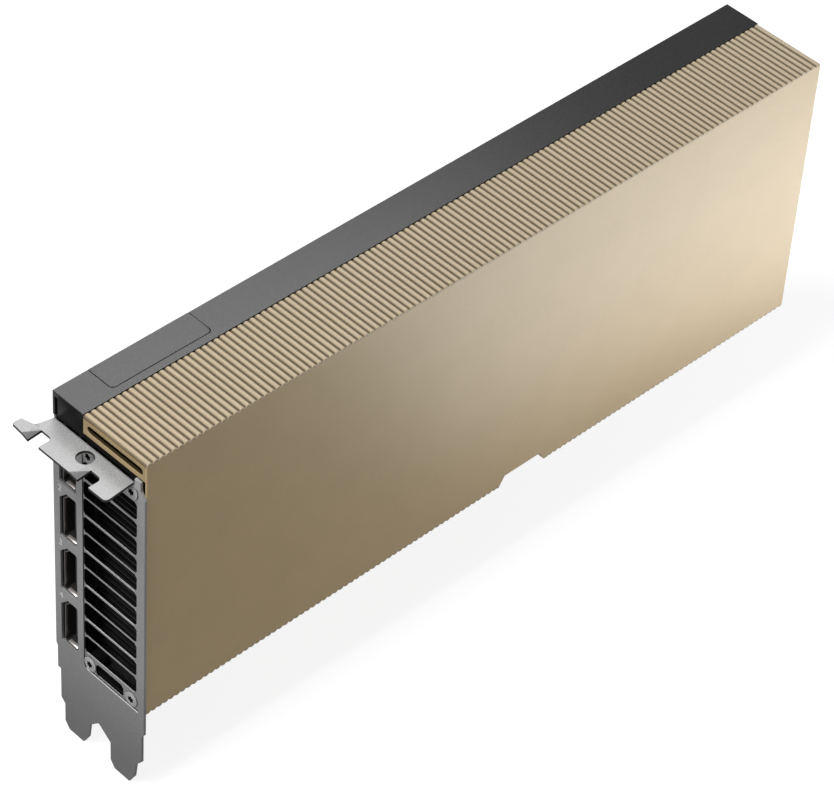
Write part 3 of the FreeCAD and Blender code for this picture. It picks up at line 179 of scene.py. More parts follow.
def finish(name, dark, light, grain, stretch=(1, 1, 1), metallic=0.0, rough=(0.4, 0.5), bump=0.1,
           specular=0.5, patches=0.3):
    """Two close colours mixed by noise in object space, which also drives roughness and relief.

    grain is the size of the grain in mm, stretch lengthens it along X, Y or Z, and patches is the
    share of a broad cloudy noise in the colour.
    """
    cloud_scale, relief_height = 60.0, 0.05 * MM
    noise_low, noise_high = 0.3, 0.7
    material = bpy.data.materials.new(name)
    material.use_nodes = True
    tree = material.node_tree
    shader = tree.nodes["Principled BSDF"]
    shader.inputs["Metallic"].default_value = metallic
    shader.inputs["Specular IOR Level"].default_value = specular
    place = tree.nodes.new("ShaderNodeTexCoord")
    scale = tree.nodes.new("ShaderNodeMapping")
    scale.inputs["Scale"].default_value = [1 / (MM * grain * long) for long in stretch]
    tree.links.new(place.outputs["Object"], scale.inputs["Vector"])
    fine = tree.nodes.new("ShaderNodeTexNoise")
    fine.inputs["Scale"].default_value = 1.0
    fine.inputs["Detail"].default_value = 3.0
    tree.links.new(scale.outputs["Vector"], fine.inputs["Vector"])
    cloudy = tree.nodes.new("ShaderNodeTexNoise")
    cloudy.inputs["Scale"].default_value = cloud_scale
    cloudy.inputs["Detail"].default_value = 2.0
    tree.links.new(place.outputs["Object"], cloudy.inputs["Vector"])
    blend = tree.nodes.new("ShaderNodeMix")
    blend.data_type = "FLOAT"
    blend.inputs[0].default_value = patches
    tree.links.new(fine.outputs["Fac"], blend.inputs[2])
    tree.links.new(cloudy.outputs["Fac"], blend.inputs[3])
    colour = tree.nodes.new("ShaderNodeValToRGB")
    ends = colour.color_ramp.elements
    ends[0].position, ends[0].color = noise_low, (*dark, 1.0)
    ends[1].position, ends[1].color = noise_high, (*light, 1.0)
    tree.links.new(blend.outputs[0], colour.inputs["Fac"])
    tree.links.new(colour.outputs["Color"], shader.inputs["Base Color"])
    roughness = tree.nodes.new("ShaderNodeMapRange")
    roughness.inputs["From Min"].default_value = noise_low
    roughness.inputs["From Max"].default_value = noise_high
    roughness.inputs["To Min"].default_value = rough[0]
    roughness.inputs["To Max"].default_value = rough[1]
    tree.links.new(fine.outputs["Fac"], roughness.inputs["Value"])
    tree.links.new(roughness.outputs["Result"], shader.inputs["Roughness"])
    relief = tree.nodes.new("ShaderNodeBump")
    relief.inputs["Strength"].default_value = bump
    relief.inputs["Distance"].default_value = relief_height
    tree.links.new(fine.outputs["Fac"], relief.inputs["Height"])
    tree.links.new(relief.outputs["Normal"], shader.inputs["Normal"])
    return material


def card_piece(name, mesh, slot, *finishes):
    """A finished mesh as a piece of the card. A face's material index picks one of the finishes."""
    thing = bpy.data.objects.new(name, mesh)
    bpy.context.scene.collection.objects.link(thing)
    for material in finishes:
        mesh.materials.append(material)
    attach(thing, "root")
    return thing


def broken_edges(node, width, slot, *finishes, reshape=None):
    """A CAD node's form with its sharp edges broken by a width in mm, which stands for the node."""
    sharp_angle = math.radians(30)
    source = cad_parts[node].data
    work = bmesh.new()
    corners = [work.verts.new(vertex.co) for vertex in source.vertices]
    for polygon in source.polygons:
        work.faces.new([corners[k] for k in polygon.vertices]).smooth = True
    bmesh.ops.remove_doubles(work, verts=work.verts, dist=0.0015 * MM)
    if reshape:
        reshape(work)
    bmesh.ops.recalc_face_normals(work, faces=work.faces)
    mesh = bpy.data.meshes.new(f"{node}_rounded")
    work.to_mesh(mesh)
    work.free()
    mesh.set_sharp_from_angle(angle=sharp_angle)
    thing = card_piece(f"{node}_rounded", mesh, slot, *finishes)
    soft = thing.modifiers.new("broken_edges", "BEVEL")
    soft.width = width * MM
    soft.segments = 2
    soft.limit_method = "ANGLE"
    soft.angle_limit = sharp_angle
    soft.use_clamp_overlap = False
    soft.miter_outer = "MITER_ARC"
    even = thing.modifiers.new("even_normals", "WEIGHTED_NORMAL")
    even.keep_sharp = False
    even.weight = 80
    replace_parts(thing, node)


laminate = finish("board_laminate", (0.012, 0.016, 0.014), (0.03, 0.036, 0.032), 0.5,
                  rough=(0.4, 0.55), bump=0.2)
broken_edges("circuit_board", 0.06, "board_laminate", laminate)


# Contacts of the edge connector
# Copper pads on both sides of the board's foot, plated with nickel and hard gold, so that they wear
# well when the card is pushed into its slot.

def dress(node, material):
    """A better finish for a CAD node that keeps its own shape."""
    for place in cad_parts[node].material_slots:
        place.material = material


contact_gold = finish("contact_gold", (0.72, 0.5, 0.2), (0.82, 0.6, 0.28), 0.2, metallic=1.0,
                      rough=(0.25, 0.38))
dress("edge_contacts", contact_gold)


# Processor
# A silicon die on a green laminate carrier, which is soldered to the board by its underside. A film
# of grey paste lies between the die and the heatsink.

carrier = finish("carrier_laminate", (0.02, 0.05, 0.03), (0.03, 0.07, 0.04), 0.4, rough=(0.4, 0.5))
silicon = finish("silicon", (0.06, 0.06, 0.07), (0.1, 0.1, 0.11), 0.4, metallic=0.3,
                 rough=(0.15, 0.25))
paste = finish("thermal_paste", (0.3, 0.3, 0.3), (0.4, 0.4, 0.4), 0.4, rough=(0.6, 0.7))
dress("processor_carrier", carrier)
dress("processor_die", silicon)
dress("die_paste", paste)


# Memory
# Black moulded chips round the processor on both faces of the board. Soft grey pads of filled
# silicone press on them and carry their heat away.

chip = finish("chip_black", (0.012, 0.012, 0.012), (0.025, 0.025, 0.025), 0.25, rough=(0.5, 0.6))
pad_grey = finish("pad_grey", (0.25, 0.26, 0.28), (0.32, 0.33, 0.35), 0.4, rough=(0.7, 0.8))
for side in ("front", "back"):
    dress(f"memory_{side}", chip)
    dress(f"memory_pads_{side}", pad_grey)


# Power stage
# Pressed iron-powder chokes, black moulded transistors and aluminium cans, soldered in rows beside
# the processor.

choke = finish("choke_grey", (0.09, 0.09, 0.09), (0.13, 0.13, 0.13), 0.3, rough=(0.5, 0.6))
can = finish("capacitor_can", (0.45, 0.45, 0.46), (0.55, 0.55, 0.56), 0.3, metallic=0.8,
             rough=(0.3, 0.4))
dress("power_chokes", choke)
dress("power_transistors", chip)
dress("capacitors", can)


# Power inlet
# A black moulded housing at the intake end of the board, with gold-plated power and sense pins
# pressed into it.

inlet_plastic = finish("inlet_plastic", (0.010, 0.010, 0.010), (0.02, 0.02, 0.02), 0.35,
                       rough=(0.45, 0.55))
broken_edges("inlet_housing", 0.15, "inlet_plastic", inlet_plastic)
dress("power_pins", contact_gold)
dress("sense_pins", contact_gold)


# Display sockets
# Four sockets at the near edge of the board, behind the bracket. Each is a folded steel shell round
# a black moulded core, with rows of gold-plated contacts on the core's tongue.

# The shells' near-black colour is painted shade, for the shade inside the bracket's windows.
shell_steel = finish("shell_steel", (0.03, 0.03, 0.03), (0.05, 0.048, 0.046), 0.2, metallic=0.5,
                     rough=(0.3, 0.45))
socket_plastic = finish("socket_plastic", (0.008, 0.008, 0.008), (0.018, 0.018, 0.018), 0.3,
                        rough=(0.5, 0.6))
socket_count = 4
for number in range(1, socket_count + 1):
    broken_edges(f"display_shell_{number}", 0.06, "shell_steel", shell_steel)
    dress(f"display_core_{number}", socket_plastic)
    dress(f"display_contacts_{number}", contact_gold)


# Spring leaves of the display sockets
# Two bowed steel leaves just inside each mouth press on the plug's shell: a long one on the wall
# beside the board and a short one on the lower wall. They are pressed out of the shell's sheet.

leaf_steel = finish("leaf_steel", (0.5, 0.46, 0.44), (0.62, 0.57, 0.54), 0.2, metallic=0.7,
                    rough=(0.3, 0.42))
# A darker copy of the leaf steel, as painted shade on the long leaf beside the board.
leaf_steel_painted_shade = finish("leaf_steel_painted_shade", (0.03, 0.025, 0.02), (0.07, 0.057, 0.05), 0.2, metallic=0.3,
                   rough=(0.35, 0.45))
socket_foot, socket_pitch = 26.75, 20.85
leaf_start, leaf_end, leaf_steps = -59.5, -58.25, 8
leaf_bow, leaf_thickness, leaf_slope = 0.16, 0.09, 0.12
board_wall, lower_wall = -1.15, -7.97
long_leaf, short_leaf, between_leaves = (-6.6, 7.7), (-6.2, -2.2), -1.7
leaves = bmesh.new()


def drawn_out(work, face):
    """The new end face after a face is extruded. It still lies where the old one lay."""
    made = bmesh.ops.extrude_face_region(work, geom=[face, *face.edges])["geom"]
    return next(part for part in made if isinstance(part, bmesh.types.BMFace))


def steady_order(work):
    """Sort a bmesh by place. The operators leave its parts in an order that varies between runs."""
    rank = {corner: k for k, corner in enumerate(sorted(work.verts, key=lambda v: v.co[:]))}
    work.verts.sort(key=rank.get)
    work.verts.index_update()
    for parts in (work.edges, work.faces):
        by_corners = sorted(parts, key=lambda part: sorted(v.index for v in part.verts))
        rank = {part: k for k, part in enumerate(by_corners)}
        parts.sort(key=rank.get)


def leaf(place, first, last):
    """A bowed leaf from first to last along its wall. place turns (x, lift, along) into a point."""
    section = ((0, first), (leaf_thickness, first + leaf_slope),
               (leaf_thickness, last - leaf_slope), (0, last))
    end = leaves.faces.new([
        leaves.verts.new(Vector(place(leaf_start, lift, along)) * MM) for lift, along in section])

    def bowed(step):
        share = step / leaf_steps
        x = leaf_start + (leaf_end - leaf_start) * share
        return Vector(place(x, leaf_bow * math.sin(math.pi * share), first)) * MM

    for step in range(leaf_steps):
        end = drawn_out(leaves, end)
        bmesh.ops.translate(leaves, verts=end.verts, vec=bowed(step + 1) - bowed(step))


def smooth_mesh(name, work, sharp_degrees):
    """A finished bmesh as a smooth mesh, sharp at edges over an angle."""
    bmesh.ops.recalc_face_normals(work, faces=work.faces)
    mesh = bpy.data.meshes.new(name)
    work.to_mesh(mesh)
    work.free()
    mesh.shade_smooth()
    mesh.set_sharp_from_angle(angle=math.radians(sharp_degrees))
    return mesh


for number in range(socket_count):
    middle = socket_foot + socket_pitch * number
    leaf(lambda x, lift, along: (x, board_wall - lift, middle + along), *long_leaf)
    leaf(lambda x, lift, along: (x, along, middle + lower_wall + lift), *short_leaf)
steady_order(leaves)
leaves_mesh = smooth_mesh("socket_leaves", leaves, 40)
# The long leaf beside the board gets the painted shade.
for face in leaves_mesh.polygons:
    if face.center.y > between_leaves * MM:
        face.material_index = 1
card_piece("socket_leaves", leaves_mesh, "shell_steel", leaf_steel, leaf_steel_painted_shade)


# Heatsink
# A flat copper vapour chamber over the processor, with a stack of thin folded fins soldered on it.
# The fins' near-black colour is painted shade, so that they show only as dark edges through the
# vents.

copper = finish("chamber_copper", (0.5, 0.25, 0.15), (0.62, 0.33, 0.2), 0.3, metallic=1.0,
                rough=(0.3, 0.45))
fin_painted_shade = finish("fin_aluminium", (0.009, 0.009, 0.0095), (0.018, 0.018, 0.0185), 0.3,
                   stretch=(8, 1, 1), metallic=0.2, rough=(0.45, 0.6), specular=0.15)
dress("vapour_chamber", copper)
dress("fin_stack", fin_painted_shade)


# Clamp behind the processor
# A stamped steel frame on the back of the board. Its screws go through the board and pull the
# heatsink down on the processor.

clamp_steel = finish("clamp_steel", (0.3, 0.3, 0.3), (0.38, 0.38, 0.38), 0.3, metallic=0.8,
                     rough=(0.3, 0.4))
dress("backing_frame", clamp_steel)
dress("clamp_screws", clamp_steel)


# Back cover and its standoffs
# A flat aluminium plate, anodised grey and brushed along the card. Turned brass spacers hold it
# clear of the board.

brass = finish("spacer_brass", (0.5, 0.4, 0.18), (0.62, 0.5, 0.25), 0.2, metallic=1.0,
               rough=(0.3, 0.42))
back_plate = finish("back_plate", (0.05, 0.05, 0.052), (0.075, 0.075, 0.078), 0.2,
                    stretch=(10, 1, 1), metallic=0.5, rough=(0.38, 0.5))
dress("standoffs", brass)
broken_edges("back_cover", 0.12, "back_plate", back_plate)


# Screws of the back cover
# Ten black steel screws in two rows, sunk in the cover. Each has a low round head with a turned
# groove round its six-lobed drive, and its shank goes into a standoff.

black_screw = finish("black_screw", (0.03, 0.03, 0.032), (0.055, 0.055, 0.058), 0.15, metallic=0.4,
                     rough=(0.3, 0.45), bump=0.15)
# Painted shade: near-black for the drive recess and the ring round each head.
recess_and_rim_painted_shade = finish("drive_and_rim_painted_shade", (0.004, 0.004, 0.004), (0.01, 0.01, 0.01), 0.2,
                      rough=(0.5, 0.6), specular=0.1)
recess, lobe_swell, turned_steps = 1.0, 0.17, 48
hair = 0.01  # two places in mm that are nearer than this count as one


def screw_heads(name, node, slot, material, seats, out, radius, rise, depth, shank, length, rim):
    """Turned screws with a six-lobed recess, on seats in mm. out points away from the seat, and
    rim is the width of the ring round the head. The recess and the ring get painted shade.
    """
    recess_foot = rise - depth
    profile = (
        (0.0, recess_foot), (0.45 * recess, recess_foot), (0.9 * recess, rise - 0.96 * depth),
        (recess, rise - 0.06), (1.06 * recess, rise),
        (0.66 * radius, rise), (0.69 * radius, rise - 0.12), (0.75 * radius, rise - 0.12),
        (0.78 * radius, rise - 0.02), (0.93 * radius, rise - 0.06), (radius, 0.62 * rise),
        (radius, 0.03), (radius + rim, 0.02), (radius + rim, 0.0),
        (shank, 0.0), (shank, -length), (0.0, -length),
    )
    up = Vector((0, 0, 1))
    seats = [Vector(seat) for seat in seats]
    work = bmesh.new()
    for seat in seats:
        line = [work.verts.new((seat + up * r + out * height) * MM) for r, height in profile]
        edges = [work.edges.new(pair) for pair in zip(line, line[1:])]
        bmesh.ops.spin(work, geom=line + edges, cent=seat * MM, axis=out, angle=2 * math.pi,
                       steps=turned_steps, use_merge=True)
    bmesh.ops.remove_doubles(work, verts=work.verts, dist=0.001 * MM)

    def from_axis(point):
        """The offset from the axis of the nearest screw, and the height over its seat."""
        offset = min((point / MM - seat for seat in seats), key=lambda away: away.length)
        height = offset.dot(out)
        return offset - out * height, height

    for corner in work.verts:
        offset, height = from_axis(corner.co)
        if hair < offset.length < 1.1 * recess and height > recess_foot - hair:
            corner.co += offset * (MM * lobe_swell * math.cos(6 * offset.angle(up)))
    steady_order(work)
    mesh = smooth_mesh(name, work, 35)
    # The recess and the ring round the head get the painted shade.
    for face in mesh.polygons:
        offset, height = from_axis(face.center)
        in_recess = offset.length < 1.2 * recess and recess_foot - hair < height < rise - 0.02
        on_rim = offset.length > radius and height > 0.1 * hair
        if in_recess or on_rim:
            face.material_index = 1
    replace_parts(card_piece(name, mesh, slot, material, recess_and_rim_painted_shade), node)


near, far = -59.05, 207.65
row_inset, screws_in_row, row_heights, back_seat = 8.4, 5, (22.2, 94.55), 2.855
row_step = (far - near - 2 * row_inset) / (screws_in_row - 1)
screw_heads("back_screw_heads", "back_screws", "black_screw", black_screw,
            [(near + row_inset + row_step * k, back_seat, z)
             for k in range(screws_in_row) for z in row_heights],
            out=Vector((0, 1, 0)), radius=2.1, rise=0.6, depth=0.5, shank=1.0, length=1.92,
            rim=0.03)


# End frames
# Black glass-filled mouldings at the two ends of the card. The outlet frame takes the screws of the
# bracket, and the intake frame has the threaded holes of the extender.

frame_plastic = finish("frame_plastic", (0.002, 0.002, 0.002), (0.006, 0.006, 0.006), 0.4,
                       rough=(0.6, 0.75), specular=0.05)
cad_frame_face, frame_face = -58.15, -58.98


def meet_panel(work):
    """The outlet frame's front face, brought up to the thinner pressed panel of the bracket."""
    for corner in work.verts:
        if abs(corner.co.x / MM - cad_frame_face) < 2 * hair:
            corner.co.x = frame_face * MM


broken_edges("outlet_frame", 0.12, "frame_plastic", frame_plastic, reshape=meet_panel)
broken_edges("intake_frame", 0.12, "frame_plastic", frame_plastic)


# Ribbed cover
# Aluminium, anodised gold: a flat face, and fine rounded ribs with sharp valleys milled across the
# top and bottom edges. The ribs stop at the relief for the slot's latch, and the first ribs of the
# bottom edge have no floor behind them. Inside it is black. The gold is painted darker down into
# each valley as shade, and the near end faces of the bottom edge are painted black as shade.

def tint(material, colour):
    """Multiply a finish's colour by the colour that a socket gives."""
    tree = material.node_tree
    base_colour = tree.nodes["Principled BSDF"].inputs["Base Color"]
    product = tree.nodes.new("ShaderNodeVectorMath")
    product.operation = "MULTIPLY"
    tree.links.new(base_colour.links[0].from_socket, product.inputs[0])
    tree.links.new(colour, product.inputs[1])
    tree.links.new(product.outputs["Vector"], base_colour)


def height_in_piece(tree):
    """The socket that gives a point's height, in metres."""
    place = tree.nodes.new("ShaderNodeTexCoord")
    axes = tree.nodes.new("ShaderNodeSeparateXYZ")
    tree.links.new(place.outputs["Object"], axes.inputs[0])
    return axes.outputs["Z"]


gold = finish("gold_anodised", (0.55, 0.41, 0.215), (0.61, 0.46, 0.245), 0.35, rough=(0.42, 0.55),
              bump=0.12, specular=0.25, patches=0.4)
tree = gold.node_tree
# Painted shade: the gold darkens down into each valley between the ribs, by the groove attribute.
groove_painted_shade = tree.nodes.new("ShaderNodeAttribute")
groove_painted_shade.attribute_name = "groove"
groove_painted_shade_curve = tree.nodes.new("ShaderNodeMapRange")
groove_painted_shade_curve.interpolation_type = "SMOOTHSTEP"
groove_painted_shade_curve.inputs["From Min"].default_value = 0.0
groove_painted_shade_curve.inputs["From Max"].default_value = 0.55
groove_painted_shade_curve.inputs["To Min"].default_value = 1.0
groove_painted_shade_curve.inputs["To Max"].default_value = 0.32
tree.links.new(groove_painted_shade.outputs["Fac"], groove_painted_shade_curve.inputs["Value"])
tint(gold, groove_painted_shade_curve.outputs["Result"])

cover_middle, ribs_from, ribs_full = 62.675, 47.45, 47.75
from_middle = tree.nodes.new("ShaderNodeMath")
from_middle.operation = "SUBTRACT"
from_middle.inputs[1].default_value = cover_middle * MM
tree.links.new(height_in_piece(tree), from_middle.inputs[0])
either_edge = tree.nodes.new("ShaderNodeMath")
either_edge.operation = "ABSOLUTE"
tree.links.new(from_middle.outputs[0], either_edge.inputs[0])
on_ribs = tree.nodes.new("ShaderNodeMapRange")
on_ribs.inputs["From Min"].default_value = ribs_from * MM
on_ribs.inputs["From Max"].default_value = ribs_full * MM
tree.links.new(either_edge.outputs[0], on_ribs.inputs["Value"])
rib_tone = tree.nodes.new("ShaderNodeMix")
rib_tone.data_type = "RGBA"
rib_tone.inputs[6].default_value = white
rib_tone.inputs[7].default_value = (0.8, 0.86, 1.05, 1.0)
tree.links.new(on_ribs.outputs["Result"], rib_tone.inputs[0])
tint(gold, rib_tone.outputs[2])
# Black for the inside of the cover, and as painted shade on the near end of its bottom edge.
liner_and_painted_shade = finish("liner_black_and_painted_shade", (0.004, 0.004, 0.004), (0.008, 0.008, 0.008), 0.5, rough=(0.6, 0.75),
               specular=0.2)

cover_front, cover_inner, rail_edge = -34.855, -33.655, -9.235
cover_top, cover_foot = 111.15, 14.2
roof_inner, floor_inner = 109.5, 15.85
rib_count, rib_height, rib_steps = 123, 0.75, 12
rib_pitch = (far - near) / rib_count
relief_start, relief_end, relief_slope, relief_roof = 80.45, 99.7, 2.15, 17.75
relief_skin = 0.9
face_rounding = ((0.0, 0.28), (0.04, 0.13), (0.13, 0.04), (0.28, 0.0))
near_edge, near_chamfer, groove_start = 0.45, 0.9, 0.2
rib_end_rounding = ((0.45, 0.0), (0.2, 0.06), (0.06, 0.2), (0.0, 0.42))
open_ribs = 2


def rib_rise(share):
    """Height of a rib at a share of its width: a full arch between two sharp valleys."""
    return rib_height * (1 - abs(2 * share - 1) ** 2.2) ** 0.75


def rib_run(start, count, step, valley, sign):
    """Points over a row of ribs, without the last valley."""
    return [
        (start + (k + j / rib_steps) * step, valley + sign * rib_rise(j / rib_steps))
        for k in range(count) for j in range(rib_steps)
    ]


top_valley, foot_valley = cover_top - rib_height, cover_foot + rib_height
top_path = rib_run(near, rib_count, rib_pitch, top_valley, 1) + [(far, top_valley)]
ribs_after = int((far - relief_end) / rib_pitch)
ribs_before = int((relief_start - near) / rib_pitch)
after_relief, before_relief = far - ribs_after * rib_pitch, near + ribs_before * rib_pitch
bottom_path = [
    *rib_run(far, ribs_after, -rib_pitch, foot_valley, -1),
    (after_relief, foot_valley), (after_relief, cover_foot),
    (relief_end, cover_foot), (relief_end - relief_slope, relief_roof),
    (relief_start + relief_slope, relief_roof), (relief_start, cover_foot),
    (before_relief, cover_foot),
    *rib_run(before_relief, ribs_before, -rib_pitch, foot_valley, -1),
    (near, foot_valley),
]
floor_path = [
    (far, floor_inner), (relief_end + relief_skin, floor_inner),
    (relief_end - relief_slope + relief_skin, relief_roof + relief_skin),
    (relief_start + relief_slope - relief_skin, relief_roof + relief_skin),
    (relief_start - relief_skin, floor_inner), (near + open_ribs * rib_pitch, floor_inner),
]
outline = [*top_path, (far, roof_inner), (far, floor_inner),
           *bottom_path, (near, floor_inner), (near, roof_inner)]
cover = bmesh.new()
# The groove layer drives the painted shade of the gold in the valleys.
groove = cover.verts.layers.float.new("groove")


def groove_depth(x, z):
    """How deep a point of the outline lies between two ribs, from 0 at a crest to 1 in a valley."""
    if z > roof_inner + hair:
        return (cover_top - z) / rib_height
    if z < foot_valley + hair and not relief_start - rib_pitch < x < relief_end + rib_pitch:
        return (z - cover_foot) / rib_height
    return 0.0


def ring(y, inset):
    """The outline at one depth, drawn in by an inset at its outer edges."""
    made = []
    for x, z in outline:
        dx = inset if x <= near else -inset if x >= far else 0.0
        dz = 0.0
        if z > roof_inner + hair:
            dz = -inset
        elif z < floor_inner - hair or (z < relief_roof + hair and relief_start < x < relief_end):
            dz = inset
        made.append(cover.verts.new(((x + dx) * MM, y * MM, (z + dz) * MM)))
        made[-1][groove] = groove_depth(x, z) if y > cover_front + groove_start else 0.0
    return made


def join_rows(work, first, second, closed=True):
    """Faces between two rows of as many points."""
    count = len(first)
    for k in range(count if closed else count - 1):
        after = (k + 1) % count
        work.faces.new((first[k], first[after], second[after], second[k]))


rings = [ring(cover_front + depth, inset) for depth, inset in face_rounding]
rings += [ring(cover_front + near_edge, 0.0), ring(cover_inner, 0.0)]
plate_back = rings[-1]
for corner in plate_back:
    if (corner.co.x < (near + hair) * MM
            and (floor_inner - hair) * MM < corner.co.z < (roof_inner + hair) * MM):
        corner.co.x += near_chamfer * MM
cover.faces.new(rings[0])
for first, second in zip(rings, rings[1:]):
    join_rows(cover, first, second)
top_count, bottom_start = len(top_path), len(top_path) + 2
bottom_end = bottom_start + len(bottom_path)
back_top, back_bottom = plate_back[:top_count], plate_back[bottom_start:bottom_end]
far_roof, far_floor = plate_back[top_count:bottom_start]
near_floor, near_roof = plate_back[bottom_end:]


def flange(front_row, path, inner_front, inner_path, sign):
    """A ribbed edge of the cover, from its face back to the rail, with rounded rib ends."""
    rows = [front_row]
    for depth, drop in rib_end_rounding:
        row = []
        for x, z in path:
            row.append(cover.verts.new((x * MM, (rail_edge - depth) * MM, (z - sign * drop) * MM)))
            row[-1][groove] = groove_depth(x, z)
        rows.append(row)
    for first, second in zip(rows, rows[1:]):
        join_rows(cover, first, second, closed=False)
    inner_back = [cover.verts.new((x * MM, rail_edge * MM, z * MM)) for x, z in inner_path]
    cover.faces.new(rows[-1] + inner_back)
    join_rows(cover, inner_front, inner_back, closed=False)
    cover.faces.new([row[0] for row in rows] + [inner_back[-1], inner_front[-1]])
    cover.faces.new([row[-1] for row in rows] + [inner_back[0], inner_front[0]])


flange(back_top, top_path, [far_roof, near_roof], [(far, roof_inner), (near, roof_inner)], 1)
floor_front = [far_floor]
floor_front += [cover.verts.new((x * MM, cover_inner * MM, z * MM)) for x, z in floor_path[1:]]
ribbed = len(bottom_path) - open_ribs * rib_steps
flange(back_bottom[:ribbed], bottom_path[:ribbed], floor_front[::-1], floor_path[::-1], -1)
cover.faces.new([far_roof, *floor_front, *back_bottom[ribbed - 1:], near_floor, near_roof])

cover_mesh = smooth_mesh("ribbed_cover", cover, 38)
cover_mesh.polygons[0].use_smooth = False  # the flat face, which was made first
for face in cover_mesh.polygons:
    corners = [cover_mesh.vertices[k].co / MM for k in face.vertices]
    x, y, z = face.center / MM
    on_inside = all(corner.y > cover_inner - hair
                    and floor_inner - hair < corner.z < roof_inner + hair for corner in corners)
    behind_face = all(abs(corner.y - cover_inner) < hair for corner in corners)
    # Painted shade: the near end faces of the bottom edge, beside the bracket, are painted black.
    near_foot_painted_shade = (face.normal.x < -0.5 and x < near + near_chamfer and z < floor_inner
                    and y > cover_front + near_edge)
    if on_inside or behind_face or near_foot_painted_shade:
        face.material_index = 1
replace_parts(card_piece("ribbed_cover", cover_mesh, "gold_anodised", gold, liner_and_painted_shade), "shroud")


# End lip of the cover
# The cover's own wall above the bracket, milled with one long round-ended slot. The inner walls of
# the slot are painted dark brown as shade, and the whole lip gets the gold's painted valley shade.

slot_wall_painted_shade = finish("slot_wall_painted_shade", (0.03, 0.02, 0.007), (0.045, 0.03, 0.012), 0.35, rough=(0.5, 0.6),
                   specular=0.1)
lip_foot, lip_back, lip_painted_shade = 104.5, near + 1.2, 0.3
slot_middle, slot_half, slot_margin = 107.2, 1.2, 1.6
slot_low = cover_front + slot_margin + slot_half
slot_high = rail_edge - slot_margin - slot_half
slot_rounding = ((near, 0.18), (near + 0.05, 0.06), (near + 0.18, 0.0), (lip_back, 0.0))
rim_split, wall_start, arc_steps = 0.5, near + 0.15, 12
lip = bmesh.new()
lip_painted_shade_layer = lip.verts.layers.float.new("groove")
slot_points = [
    (centre + slot_half * math.cos(angle), slot_middle + slot_half * math.sin(angle))
    for centre, quarter in ((slot_high, -0.5), (slot_low, 0.5))
    for angle in (math.pi * (k / arc_steps + quarter) for k in range(arc_steps + 1))
]


def beyond(value, low, high, grow):
    """How far the slot's rim is widened at a point that lies past low or high."""
    return grow if value > high else -grow if value < low else 0.0


def lip_edge(k):
    """The point on the lip's outer edge that faces a point of the slot."""
    climb = (roof_inner - lip_foot) * (k % (arc_steps + 1)) / arc_steps
    if k <= arc_steps:
        return rail_edge, lip_foot + climb
    return cover_front + near_edge, roof_inner - climb


slot_rows = [
    [lip.verts.new((x * MM, (y + beyond(y, slot_low, slot_high, grow)) * MM,
                    (z + beyond(z, slot_middle - rim_split, slot_middle + rim_split, grow)) * MM))
     for y, z in slot_points]
    for x, grow in slot_rounding
]
edge_rows = [
    [lip.verts.new((x * MM, y * MM, z * MM)) for y, z in map(lip_edge, range(len(slot_points)))]
    for x in (near, lip_back)
]
for first, second in [*zip(slot_rows, slot_rows[1:]), edge_rows,
                      (edge_rows[0], slot_rows[0]), (edge_rows[1], slot_rows[-1])]:
    join_rows(lip, first, second)
# Painted shade over the whole lip, through the gold's valley shading.
for corner in lip.verts:
    corner[lip_painted_shade_layer] = lip_painted_shade
lip_mesh = smooth_mesh("cover_lip", lip, 38)
# The slot's inner walls get the dark brown painted shade.
for face in lip_mesh.polygons:
    x, y, z = face.center / MM
    if x > wall_start and abs(z - slot_middle) < slot_half + 2 * hair:
        face.material_index = 1
card_piece("cover_lip", lip_mesh, "gold_anodised", gold, slot_wall_painted_shade)


# Top rail and hatch
# An upside-down channel of aluminium, anodised dark grey with a fine satin grain. The hatch is a
# flush lid in it over the link connector.

dark = finish("dark_anodised", (0.011, 0.011, 0.0115), (0.02, 0.02, 0.0205), 0.3,
              rough=(0.26, 0.32), bump=0.1, specular=0.11, patches=0.15)
flat_angle = math.radians(0.2)


def join_flats(work):
    """One face for each flat side, so that no long thin triangle shades it unevenly."""
    bmesh.ops.dissolve_limit(work, angle_limit=flat_angle, verts=work.verts, edges=work.edges)


broken_edges("top_rail", 0.12, "dark_anodised", dark, reshape=join_flats)
broken_edges("link_hatch", 0.1, "dark_anodised", dark)


# Plug in the near end of the rail
# A glossy black moulding that is pushed into the end of the channel and closes it, a little inside
# its edges.

plug_plastic = finish("plug_plastic", (0.003, 0.003, 0.003), (0.006, 0.006, 0.006), 0.4,
                      rough=(0.2, 0.3), bump=0.05, specular=0.06)
plug_low, plug_high = rail_edge + 0.25, 1.25
plug_foot, plug_top = 102.75, cover_top - 0.45
plug_corner, plug_seat, plug_proud = 0.5, near + 0.3, near - 0.03
plug_edge = ((0.05, 0.04), (0.02, 0.08))


def block(work, *spans):
    """A cube stretched to its spans in mm along X, Y and Z."""
    bmesh.ops.create_cube(work, size=1.0)
    for corner in work.verts:
        corner.co = [MM * (low + (high - low) * (share + 0.5))
                     for share, (low, high) in zip(corner.co, spans)]


plug = bmesh.new()
block(plug, (plug_proud, plug_seat), (plug_low, plug_high), (plug_foot, plug_top))
along_card = [edge for edge in plug.edges if edge.verts[0].co.x != edge.verts[1].co.x]
bmesh.ops.bevel(plug, geom=along_card, offset=plug_corner * MM, segments=4, affect="EDGES",
                profile=0.5, material=-1)
plug_middle = Vector((0, plug_low + plug_high, plug_foot + plug_top)) * (0.5 * MM)
front = min(plug.faces, key=lambda face: face.calc_center_median().x)
for proud, shrink in plug_edge:
    front = drawn_out(plug, front)
    for corner in front.verts:
        x, y, z = corner.co - plug_middle
        corner.co -= Vector((proud, math.copysign(shrink, y), math.copysign(shrink, z))) * MM
steady_order(plug)
card_piece("rail_plug", smooth_mesh("rail_plug", plug, 40), "frame_plastic", plug_plastic)


